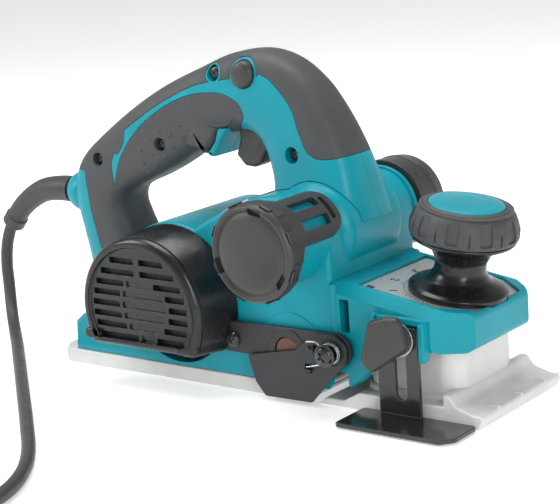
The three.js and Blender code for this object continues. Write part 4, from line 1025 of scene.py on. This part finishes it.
# ---------------------------------------------------------------- chip duct
def duct_nozzle():
    low = DUCT_LEFT_END + GAP
    high = low + 24
    shape = turned(outline([
        (19.5, low), (26, low, 0.8), (26, low + 5, 0.3), (25.5, low + 5.6, 0.3), (25.5, high - 9, 0.3),
        (26, high - 8.4, 0.3), (25, high, 1.4), (21.5, high, 1.2), (19.5, high - 6, 2),
    ], 30), DUCT, sides=128)
    for i in range(4):
        shape = join(shape, moved(slab(-1.6, 1.6, low + 6, high - 9.5, 24.8, 26, 0.4),
                                  about(DUCT, 45 + 90 * i)))
    return put(shape, "duct_nozzle")


def curved_slot(start, end, low, high, radius=1.6):
    """Cuts through the cap's arm between two angles, with rounded corners."""
    inner, outer = DUCT_RADIUS - 2, DUCT_RADIUS + 8
    mid = DUCT_RADIUS + 2
    half = rad(end - start) / 2 * mid
    corners = outline([(-half, low, radius), (half, low, radius), (half, high, radius),
                       (-half, high, radius)])
    tool = prism(corners, inner, outer, "Z")
    return moved(tool, about(DUCT, 90 - (start + end) / 2))


def fillet(start, end, steps=8):
    """Concave quarter turn from one corner to another."""
    (x0, y0), (x1, y1) = start, end
    angles = [rad(90 * i / steps) for i in range(steps + 1)]
    return [(x1 + (x0 - x1) * (1 - math.sin(a)), y0 + (y1 - y0) * (1 - math.cos(a))) for a in angles]


def duct_cap():
    """Cap over the duct's right end, with its slotted spring arm along the duct."""
    inner = DUCT_RADIUS + 0.4
    face = CAP_FACE
    cup = turned(outline([
        (0, face), (10, face + 0.15, 30), (19, face + 1.1, 20), (22.2, face + 2.6, 1),
        (22.7, face + 1.5, 0.5),
        (24.4, face + 0.9, 1.2), (CAP_RADIUS - 0.4, face + 3, 1.6), (CAP_RADIUS, CAP_MOUTH - 3, 0.5),
        (CAP_RADIUS - 0.5, CAP_MOUTH, 0.8), (inner, CAP_MOUTH), (inner, face + 6), (0, face + 6),
    ], 12), DUCT, sides=144)
    lugs = []
    for i in range(8):
        lug = slab(-3.4, 3.4, face + 2.6, face + 7.6, CAP_RADIUS - 1.4, CAP_RADIUS + 0.55, 0.5, 0.9)
        lugs.append(moved(lug, about(DUCT, 22 + i * 45)))
    cup = join(cup, *lugs)
    plan_half = rad(31) * (inner + 3)
    plan = outline([(-plan_half, CAP_MOUTH - 5), (plan_half, CAP_MOUTH - 5), (plan_half, CAP_ARM_END, 9),
                    (-plan_half, CAP_ARM_END, 9)])
    footprint = moved(prism(plan, 0, 40, "Z"), about(DUCT, 90 - CAP_ARM_AROUND))
    arm = meet(ring(DUCT, inner, inner + 3.2, CAP_MOUTH - 5, CAP_ARM_END, sides=144), footprint)
    neck = [(-plan_half - 7, CAP_MOUTH - 4), (plan_half + 7, CAP_MOUTH - 4),
            (plan_half + 7, CAP_MOUTH + 0.5),
            (plan_half - 1, CAP_MOUTH + 9), (-plan_half + 1, CAP_MOUTH + 9),
            (-plan_half - 7, CAP_MOUTH + 0.5)]
    neck = moved(prism([*neck[:3], *fillet(neck[2], neck[3]), *reversed(fillet(neck[5], neck[4])), neck[5]],
                       0, 40, "Z"),
                 about(DUCT, 90 - CAP_ARM_AROUND))
    collar = turned([(inner, CAP_MOUTH - 5), (inner + 3.8, CAP_MOUTH - 5), (inner + 3.8, CAP_MOUTH),
                     (inner + 3.2, CAP_MOUTH + 8.5), (inner, CAP_MOUTH + 8.5)], DUCT, sides=144)
    arm = join(arm, meet(collar, neck))
    arm = cut(arm, curved_slot(23, 37, CAP_MOUTH + 7, CAP_ARM_END - 9.5, 0.8),
              curved_slot(49, 63, CAP_MOUTH + 7, CAP_ARM_END - 9.5, 0.8),
              curved_slot(26, 60, CAP_ARM_END - 7.4, CAP_ARM_END - 3.8, 1.2))
    cap = join(cup, arm)
    for around in (80, 200, 325):
        window = slab(-4.2, 4.2, face - 2, face + 4.6, 20.8, 24.2, 0.8)
        cap = cut(cap, moved(window, about(DUCT, 90 - around)))
    for around in (60, 340):
        ridge = slab(-5, 5, face + 5, face + 10, CAP_RADIUS - 1, CAP_RADIUS + 0.35, 0.3, 0.3)
        frame_cut = slab(-4.4, 4.4, face + 5.6, face + 9.4, CAP_RADIUS + 0.05, CAP_RADIUS + 1, 0.3)
        cap = join(cap, moved(cut(ridge, frame_cut), about(DUCT, 90 - around)))
    return put(cap, "duct_cap")


# ---------------------------------------------------------------- depth knob
def knob():
    hole = [(0, -40), (5.3, -40), (5.3, 26), (0, 26)]
    body = turned(outline([
        (0, -3.7), (26.5, -3.7, 0.5), (26.5, -1.2, 0.9), (24.5, 0.3, 3), (17.2, 3.2, 8), (13.75, 8, 6),
        (13.75, 13.6, 6), (16.6, 19.4, 6), (22.5, 22.6, 6), (27.2, 25, 2), (28.3, 26.9, 0.6), (24.4, 26.9),
        (24.4, 40),
        (0, 40),
    ], 6), axis="Z", sides=144)
    arrow = moved(prism([(-2.2, 23), (2.2, 23), (0, 26.9)], -0.6, 0.5, "Z"), turn(130, "Z"))
    body = cut(body, turned(hole, axis="Z", sides=48), arrow)
    put(moved(body, KNOB_FRAME), "knob_body")
    grip = turned(outline([
        (24.7, 27.2), (28.1, 27.2, 0.3), (29, 28.6, 1), (29, 33.5, 6), (27, 39.4, 8), (23.6, 43.2, 5),
        (20.4, 44.4, 0.6), (20.4, 43.7), (24.7, 43.2),
    ], 6), axis="Z", sides=180)
    for i in range(10):
        wide = moved(prism(outline([(-3.4, 29.4, 1.2), (3.4, 29.4, 1.2), (3.4, 41.2, 1.6),
                                    (-3.4, 41.2, 1.6)]), 27.8, 34, "X"),
                     turn(36 * i, "Z"))
        lean = shift(27.8, 0, 34) @ turn(-17) @ shift(-27.8, 0, -34)
        wide = join(wide, moved(prism(outline([(-3.4, 33), (3.4, 33), (3.4, 41, 1.6), (-3.4, 41, 1.6)]),
                                      27.6, 34, "X"),
                                turn(36 * i, "Z") @ lean))
        thin = moved(block(28, 34, -0.55, 0.55, 29.2, 38.6, 0.4), turn(36 * i + 18, "Z"))
        grip = cut(grip, wide, thin)
    put(moved(grip, KNOB_FRAME), "knob_grip")
    cap = turned(outline([
        (0, 40.3), (24.4, 40.3), (24.4, 42.8), (20.1, 43.4), (20.1, 44.5, 0.5), (17, 45.2, 8),
        (9, 45.85, 20),
        (0, 46),
    ], 4), axis="Z", sides=144)
    put(moved(cap, KNOB_FRAME), "knob_cap", sharp=25)


# ---------------------------------------------------------------- cutter drum
BLADE_TURNS = {"one": 155, "two": 335}


def cutter():
    end = LEFT - 0.6
    drum = turned(outline([
        (0, ARM_FACE + 1.2), (4, ARM_FACE + 1.2, 0.4), (4, RIGHT + 0.2), (9, RIGHT + 0.2, 0.3),
        (9, RIGHT + 0.6),
        (26.4, RIGHT + 0.6, 0.5), (26.4, end, 0.5), (5, end), (5, LEFT + 22, 0.4), (0, LEFT + 22),
    ], 30), DRUM, sides=128)
    for degrees in BLADE_TURNS.values():
        room = block(-3, 12, RIGHT - 1, LEFT + 1, 15, 40)
        drum = cut(drum, moved(room, about(DRUM, degrees)))
    put(drum, "cutter_drum")
    for name, degrees in BLADE_TURNS.items():
        place = about(DRUM, degrees)
        clamp = prism(outline([(0.6, 15.4), (11.6, 15.4), (11.6, 22.5, 1.5), (7, 24.8, 2),
                               (0.6, 25.8, 0.4)]),
                      RIGHT + 1.5, LEFT - 1.5, edge=0.4)
        for y in (-26, 0, 26):
            clamp = cut(clamp, rod((6, y), 3, 22.2, 30, "Z", 24), rod((6, y), 1.6, 19.5, 30, "Z", 6))
        put(moved(clamp, place), f"blade_clamp_{name}")


# ---------------------------------------------------------------- handle
# From the tail up over the bar to the duct: outer x, z, inner x, z and half width
STATIONS = [
    (-137.5, 28, -97, 28, 18), (-141.5, 53, -96, 50, 18), (-145, 70, -100, 68, 18), (-148, 85, -107, 83, 18),
    (-149.5, 98, -110, 91, 18), (-146.5, 111.5, -108, 98, 18), (-138, 123.2, -101, 102.5, 18),
    (-117.7, 138.5, -86, 108.5, 18), (-95, 153, -70, 116.2, 18), (-72, 165, -53, 126, 18),
    (-46.2, 175.4, -36, 134, 18), (-24.9, 183.2, -24, 138.5, 18), (-5, 185, -14, 139.5, 18),
    (13, 180, -6, 135, 18), (28, 169.5, -2.5, 128, 18), (37.2, 159, -0.5, 121, 18.3),
    (46, 145.5, 0.9, 114, 19), (53.5, 130, 1.2, 107, 20.5), (59, 114, 0, 101, 23), (64, 96, -3, 94, 26),
]
SECTION_POWER = 3.4  # 2 is an ellipse, and more is squarer
HANDLE_TRIM = 0.5  # how far the fine surface lies inside the CAD handle's corners
SCREWS = {"rear": (-123.3, 119.3), "middle": (-74, 130.5), "front": (20.5, 129.8), "top": (-32, 172.5)}
SCREW_HEAD = 3.7
LOCK_BUTTON = (-10.3, 172.7)
CORD_EXIT = (-150.5, 95.3)
TRIGGER_PIVOT = (-3.5, 141)


def squared(value):
    return math.copysign(abs(value) ** (2 / SECTION_POWER), value)


def handle_body(draw=HANDLE_TRIM, stations=110, sides=72):
    """The handle, with its whole outside drawn in."""
    rings = []
    for i in range(stations + 1):
        ox, oz, ix, iz, wide = spline_point(STATIONS, i / stations)
        middle = Vector(((ox + ix) / 2, (oz + iz) / 2))
        along = Vector((ox - ix, oz - iz))
        half = along.length / 2 - draw
        along.normalize()
        section = []
        for k in range(sides):
            angle = 2 * math.pi * (k + 0.5) / sides
            at = middle + along * half * squared(math.sin(angle))
            section.append(Vector((at.x, -(wide - draw) * squared(math.cos(angle)), at.y)))
        rings.append(section)
    return loft(rings)


def hard_region():
    """Side view of the hard part that shows: swoosh, front column and trigger guard."""
    tip = spline([(-112, 103.3), (-112.4, 117), (-109.5, 124)], 10)
    step = [(-107.6, 123.2), (-104.9, 125.4), (-101.6, 130.6), (-100.8, 137.2)]
    upper = spline([(-99.7, 138.4), (-76.2, 152.3), (-48, 164.7), (-24, 169.6)], 40)
    lobe = arc(LOCK_BUTTON, 9.4, 196, -4, 6)
    column = spline([(0.4, 173.3), (8.7, 169.2), (20.5, 156.2), (26.8, 140), (33.1, 130.9), (46, 129.1),
                     (80, 136)], 60)
    base = [(80, 80), (-4, 80), (-4, 118), (-30, 112), (-41, 127), (-35.2, 133.5)]
    under = spline([(-34, 133.8), (-23.3, 137.4), (-14.5, 146), (-12.2, 150.5), (-16, 157.4), (-30.5, 161.8),
                    (-55.7, 158), (-84.4, 143.1), (-103.6, 123.2), (-111.8, 104)], 90)
    return [*tip, *step, *upper, *lobe, *column, *base, *under]


def spine_region():
    """Side view of the hard spine down the back of the handle."""
    edge = spline([(-134.4, 111.7), (-133.5, 100.5), (-131.1, 83.8), (-125, 60.6), (-118, 36)], 30)
    return [*edge, (-118, 20), (-175, 20), (-175, 108), (-150, 113)]


def trigger_profile():
    return outline([(-0.5, 145, 2), (-24, 145), (-24, 134), (-27, 125.5), (-21.5, 119.5, 4), (-14.5, 119, 4),
                    (-9.5, 121.5, 3), (-3, 131.5, 4)])


def trigger_room():
    """What the trigger fills, at rest and as it swings."""
    place = about(TRIGGER_PIVOT)
    rooms = [prism(trigger_profile(), -7.4, 7.4, grow=0.5) for _ in range(3)]
    for room, degrees in zip(rooms[1:], (4.5, 9.5)):
        moved(room, place @ turn(degrees) @ place.inverted())
    return join(*rooms)


def handle_cuts(recess=0.9):
    cuts = []
    for at in SCREWS.values():
        cuts.append(rod(at, SCREW_HEAD + recess, -HANDLE_HALF - 2, -HANDLE_HALF + 5.8))
        cuts.append(rod(at, 2.3, -HANDLE_HALF - 2, 13, sides=24))
    cuts += [rod(LOCK_BUTTON, 7.9, -30, -6), trigger_room(), block(-180, -142.5, -5.6, 5.6, 89.7, 100.9)]
    return cuts


def ball():
    x, z = CORD_EXIT
    profile = [(12.4 * math.cos(rad(a)), 12.4 * math.sin(rad(a))) for a in range(-90, 91, 5)]
    return moved(turned(profile, axis="Z", sides=96), shift(x, 0, z))


def hook(gap=0.0):
    """Hard strip down the front of the hook behind the trigger."""
    corners = [(-41, 127, 1), (-38.5, 125.4, 1.2), (-35.5, 125.4, 1.2), (-30.5, 134, 4), (-25, 142),
               (-32, 142),
               (-35.2, 133.5, 6)]
    return prism(outline(corners), -16 - gap, 16 + gap, edge=2, grow=gap)


def hook_side():
    """The grip's own part of the hook."""
    corners = [(-56, 131), (-48, 129.6, 4), (-42, 126.6, 1), (-35.8, 133.6, 6), (-32, 143), (-52, 143)]
    return cut(prism(outline(corners), -17, 17, edge=3.6), handle_body(GRIP_THICKNESS))


def surface_at(tree, x, z):
    """Where the right side of a surface is, with the turn that points outwards from it."""
    at, normal, _, _ = tree.ray_cast(Vector((x, -60, z)), Vector((0, 1, 0)))
    return at, normal.to_track_quat("Z", "Y").to_matrix().to_4x4()


NUBS = [
    (8, 14), (0.6, 8.1), (15.9, 11.9), (-6.9, 2.2), (8.3, 5.8), (17.8, 5.3), (-14.4, -4.1), (9.2, -1),
    (-6.7, -5.9), (2.3, -7.1), (-13.6, -11.8), (-4.9, -12.6), (-12.1, -17.7),
]  # round the middle screw


def soft_grip():
    skin = join(cut(handle_body(), handle_body(GRIP_THICKNESS)), hook_side())
    grip = cut(
        skin,
        prism(hard_region(), -40, 40),
        prism(spine_region(), -40, 40),
        rod(CORD_EXIT, 12.7, -40, 40),
        hook(GAP),
        rod(SCREWS["top"], SCREW_HEAD + 2.2, -HANDLE_HALF - 2, -HANDLE_HALF + 5.8),
        body_envelope(GAP),
        *handle_cuts(),
    )
    tree = BVHTree.FromPolygons([v.co for v in grip.data.vertices],
                                [p.vertices[:] for p in grip.data.polygons])
    for x, z in NUBS:
        at, lean = surface_at(tree, SCREWS["middle"][0] + x, SCREWS["middle"][1] + z)
        grip = join(grip, dome((0, 0), 1.0, 0.6, lean, at))
    crescent = [surface_at(tree, -31.5 + 11.5 * math.cos(rad(a)),
                           150 + 7 * math.sin(rad(a)))[0] for a in range(190, 351, 8)]
    grip = join(grip, bar(crescent, [0.25 + 0.5 * math.sin(math.pi * i / 20) for i in range(21)], 12))
    for name in ("rear", "middle"):
        lining = ring(SCREWS[name], SCREW_HEAD + 0.2, SCREW_HEAD + 0.85, -HANDLE_HALF + 1,
                      -HANDLE_HALF + 5.7)
        shelf = ring(SCREWS[name], SCREW_HEAD + 0.2, SCREW_HEAD + 1.6, -HANDLE_HALF + 2.2,
                     -HANDLE_HALF + 2.8)
        grip = join(grip, lining, meet(shelf, handle_body()))
    return put(grip, "soft_grip", sharp=40)


def handle_shells():
    """The two hard halves, which meet along the middle."""
    shell = handle_body(GRIP_THICKNESS + GAP)
    for region in (hard_region(), spine_region()):
        shell = join(shell, meet(handle_body(), prism(region, -40, 40, grow=-GAP)))
    collar = meet(handle_body(HANDLE_TRIM + 0.25), rod(SCREWS["top"], SCREW_HEAD + 1.9, -30, -6))
    shell = join(shell, collar, ball(), hook())
    shell = cut(shell, handle_body(GRIP_THICKNESS + 5, 60, 24), body_envelope(GAP), *handle_cuts())
    left = meet(copy_of(shell), block(-300, 300, GAP / 2, 60, -50, 300))
    right = meet(shell, block(-300, 300, -60, -GAP / 2, -50, 300))
    put(left, "handle_shell_left", sharp=40)
    put(right, "handle_shell_right", sharp=40)


def trigger():
    body = prism(trigger_profile(), -7, 7, edge=2.2, rings=6)
    return put(body, "trigger")


def lock_button():
    shape = turned(outline([
        (0, -20.6), (4, -20.4, 8), (6.6, -19.5, 2), (7.5, -18.2, 0.8), (7.5, -13.5), (3, -13.5), (3, -12.5),
        (0, -12.5),
    ], 8), LOCK_BUTTON, sides=96)
    return put(shape, "lock_off_button", "lock_button_fine", sharp=50)


def pan_screw(node, at, radius, seat, height, shank, reach, washer=0.0):
    """Pan-head screw along Y with a cross in its head, which faces right."""
    top = seat - height
    profile = [(0, top), (radius * 0.45, top + height * 0.06), (radius * 0.8, top + height * 0.28),
               (radius, seat - height * 0.25), (radius, seat), (shank, seat), (shank, reach), (0, reach)]
    shape = turned(outline([(*p, 1.5) if 0 < i < 3 else p for i, p in enumerate(profile)], 12), at, sides=64)
    if washer:
        shape = join(shape, ring(at, radius - 0.6, radius + washer, seat - 0.9, seat, 0.3))
    for degrees in (45, 135):
        cross = slab(-radius * 0.55, radius * 0.55, top - 1, top + height * 0.55, -radius * 0.11,
                     radius * 0.11, 0.1)
        shape = cut(shape, moved(cross, about(at, degrees + 12)))
    return put(shape, node)


def handle_screws():
    for name, at in SCREWS.items():
        seat = -HANDLE_HALF + 5.4
        pan_screw(f"handle_screw_{name}", at, SCREW_HEAD, seat, 2.6, 2, 12)


# ---------------------------------------------------------------- side guard
def guard_arm():
    band = [*arc((-12, 37), 4, 90, 180), *arc((-12, 27.5), 4, 180, 270), *arc(PIVOT, 9.6, -90, 90)]
    arm = join(prism(band, ARM_FACE, ARM_SIDE, edge=0.7),
               rod(DRUM, 12.5, ARM_FACE - 0.6, ARM_SIDE, sides=96, edge=0.4))
    arm = cut(arm, rod(DRUM, 8.1, ARM_FACE - 2, ARM_SIDE + 1),
              rod(ARM_SCREW, 2.4, ARM_FACE - 1, ARM_SIDE + 1),
              rod(PIVOT, 3.2, ARM_FACE - 1, ARM_SIDE + 1))
    put(arm, "guard_arm", paint=GUARD_PLASTIC)
    bearing = turned([(0, ARM_FACE + 0.1), (7.3, ARM_FACE - 0.1), (7.8, ARM_FACE + 0.3), (7.8, ARM_SIDE),
                      (4.2, ARM_SIDE), (4.2, ARM_FACE + 0.9), (0, ARM_FACE + 0.9)], DRUM)
    put(bearing, "drum_bearing_right")
    pan_screw("guard_arm_screw", ARM_SCREW, 4.6, ARM_FACE - GAP, 3, 2.1, RIGHT + 8)


def blade_guard():
    corners = [(4.4, 24.3, 1), (9.1, 9.4, 2), (15.1, 2.1, 2), (46.3, 2.6, 2), (52, 9.1, 3), (70.5, 28, 6),
               (71, 37, 7),
               (63, 42.2, 6), (50.3, 42, 3), (36.8, 30.6, 4)]
    guard = prism(outline(corners), GUARD_OUT, GUARD_FACE, edge=0.35)
    slot = [*arc(PIVOT, 12.6, 165, 214, 4), *arc(PIVOT, 9.6, 214, 165, 4)]
    guard = cut(guard, rod(PIVOT, 3.3, GUARD_FACE - 3, GUARD_FACE + 1),
                prism(slot, GUARD_FACE - 3, GUARD_FACE + 1),
                slab(43, 48, GUARD_FACE - 3, GUARD_FACE + 1, 19.4, 24.4, 0.8))
    tab = slab(44.6, 48.2, GUARD_OUT - 2.4, GUARD_FACE - 0.4, 20.4, 21.8, 0.5, 0.4)
    stop = rod((46.5, 33.2), 1.3, GUARD_OUT - 1.4, GUARD_FACE - 0.4, sides=32, edge=0.3)
    rim = ring(PIVOT, 7.2, 9, GUARD_OUT - 0.8, GUARD_FACE - 0.3, 0.35)
    guard = join(guard, tab, stop, rim)
    return put(guard, "blade_guard", paint=GUARD_PLASTIC)


def guard_spring():
    radius, wire, rise = 5.4, 0.5, 1.45
    start = GUARD_OUT - wire - 0.3
    points = [(PIVOT[0] - 16.6, start, PIVOT[1] - 9.9), (PIVOT[0] - 7, start, PIVOT[1] - 7.4)]
    for i in range(67):
        angle, y = rad(284.5 + 9 * i), start - i / 40 * rise
        points.append((PIVOT[0] + radius * math.cos(angle), y, PIVOT[1] + radius * math.sin(angle)))
    points += [(PIVOT[0] - 7, y, PIVOT[1] + 5.4), (PIVOT[0] - 14, y, PIVOT[1] + 5.2)]
    return put(bar(centripetal(points, 0.7), wire, 12), "guard_spring")


def pivot_screw():
    pan_screw("guard_pivot_screw", PIVOT, 5.6, GUARD_OUT - 6.6, 3.4, 3, ARM_SIDE - 0.4, washer=0.8)


def depth_guide():
    """Bent steel guide with its slot, and the foot that lies on the work."""
    low = span("depth_guide")[0]
    strip = prism(outline([(88, 0.5), (113, 0.5), (113, 50.5, 2), (88, 50.5, 2)]), GUIDE_OUT, GUIDE_SIDE,
                  edge=0.4)
    plan = [(76, low.y, 2), (139, low.y, 4), (145, low.y + 7, 4), (145, GUIDE_SIDE, 2), (76, GUIDE_SIDE, 2)]
    foot = prism(outline(plan), 0.5, 3, "Z", 0.5)
    slot = slab(WING[0] - 3.6, WING[0] + 3.6, GUIDE_OUT - 1, GUIDE_SIDE + 1, 10.8, 48.5, 3.5)
    return put(cut(join(strip, foot), slot), "depth_guide")


def wing():
    seat = GUIDE_OUT - GAP
    leaf = outline([(91, 55, 5), (85, 32, 5), (92, 27.5, 4), (113, 42, 6), (109.5, 58.5, 4), (101, 58.5, 4)])
    shape = join(
        rod(WING, 2.9, seat - 1, RIGHT + 7, sides=32),
        rod(WING, 8, seat - 7, seat, edge=0.6),
        prism(leaf, seat - 12.5, seat - 6.5, edge=2.2, rings=6),
    )
    put(shape, "wing_screw")
    add("wing_washer", ring(WING, 8.1, 9.2, seat - 1.2, seat - 0.1, 0.3), "wing_screw", slot="bright_steel")


make_rear_base()
make_front_base()
make_housing()
make_scale_plate()
make_nameplate()
vent_cover()
belt_cover()
duct_nozzle()
duct_cap()
knob()
cutter()
soft_grip()
handle_shells()
trigger()
lock_button()
handle_screws()
guard_arm()
blade_guard()
guard_spring()
pivot_screw()
depth_guide()
wing()

# ---------------------------------------------------------------- CAD pieces that stay
for name, node in frame["nodes"].items():
    node.data.materials.clear()
    node.data.materials.append(PAINTS[SLOTS[name]])


# ---------------------------------------------------------------- studio
FLOOR_SIZE = 12
FLOOR_DROP = 0.0004  # keeps the floor clear of the pieces that stand on it
FLOOR_GLOW = 0.42  # brings the far floor near to white


def make_floor():
    half = FLOOR_SIZE / 2
    mesh = bpy.data.meshes.new("floor")
    mesh.from_pydata([(-half, -half, 0), (half, -half, 0), (half, half, 0), (-half, half, 0)], [],
                     [(0, 1, 2, 3)])
    floor = bpy.data.objects.new("floor", mesh)
    bpy.context.scene.collection.objects.link(floor)
    floor.location.z = -FLOOR_DROP
    glow = {"Emission_Color": (1, 1, 1, 1), "Emission_Strength": FLOOR_GLOW}
    mesh.materials.append(Paint("floor", (0.84, 0.84, 0.84), 0.6, **glow).done())


def area_light(name, place, size, power, target=(0, 0, 0.07)):
    light = bpy.data.lights.new(name, "AREA")
    light.shape = "RECTANGLE"
    light.size, light.size_y = size
    light.energy = power
    lamp = bpy.data.objects.new(name, light)
    bpy.context.scene.collection.objects.link(lamp)
    lamp.location = place
    lamp.rotation_mode = "QUATERNION"
    lamp.rotation_quaternion = (Vector(target) - Vector(place)).to_track_quat("-Z", "Y")


WORLD_TOP = 0.32  # light from overhead, when the horizon gives 1


def make_world():
    world = bpy.data.worlds.new("studio")
    world.use_nodes = True
    tree = world.node_tree
    height = tree.nodes.new("ShaderNodeSeparateXYZ")
    tree.links.new(tree.nodes.new("ShaderNodeTexCoord").outputs["Generated"], height.inputs[0])
    fade = tree.nodes.new("ShaderNodeMapRange")
    tree.links.new(height.outputs["Z"], fade.inputs[0])
    for socket, value in zip(fade.inputs[1:5], (0.06, 0.45, 1.0, WORLD_TOP)):
        socket.default_value = value
    tree.nodes["Background"].inputs["Color"].default_value = (1, 1, 1, 1)
    tree.links.new(fade.outputs[0], tree.nodes["Background"].inputs["Strength"])
    bpy.context.scene.world = world


make_floor()
make_world()
area_light("top", (-0.2, 0.1, 1.3), (1.2, 0.8), 15)
area_light("left", (-1.2, -0.9, 1.0), (0.5, 0.9), 11)
area_light("front", (1.3, -0.9, 0.7), (0.35, 1.0), 8)
bpy.context.scene.view_settings.view_transform = "Standard"

for leftover in list(workshop.objects):
    bpy.data.objects.remove(leftover)
bpy.data.collections.remove(workshop)
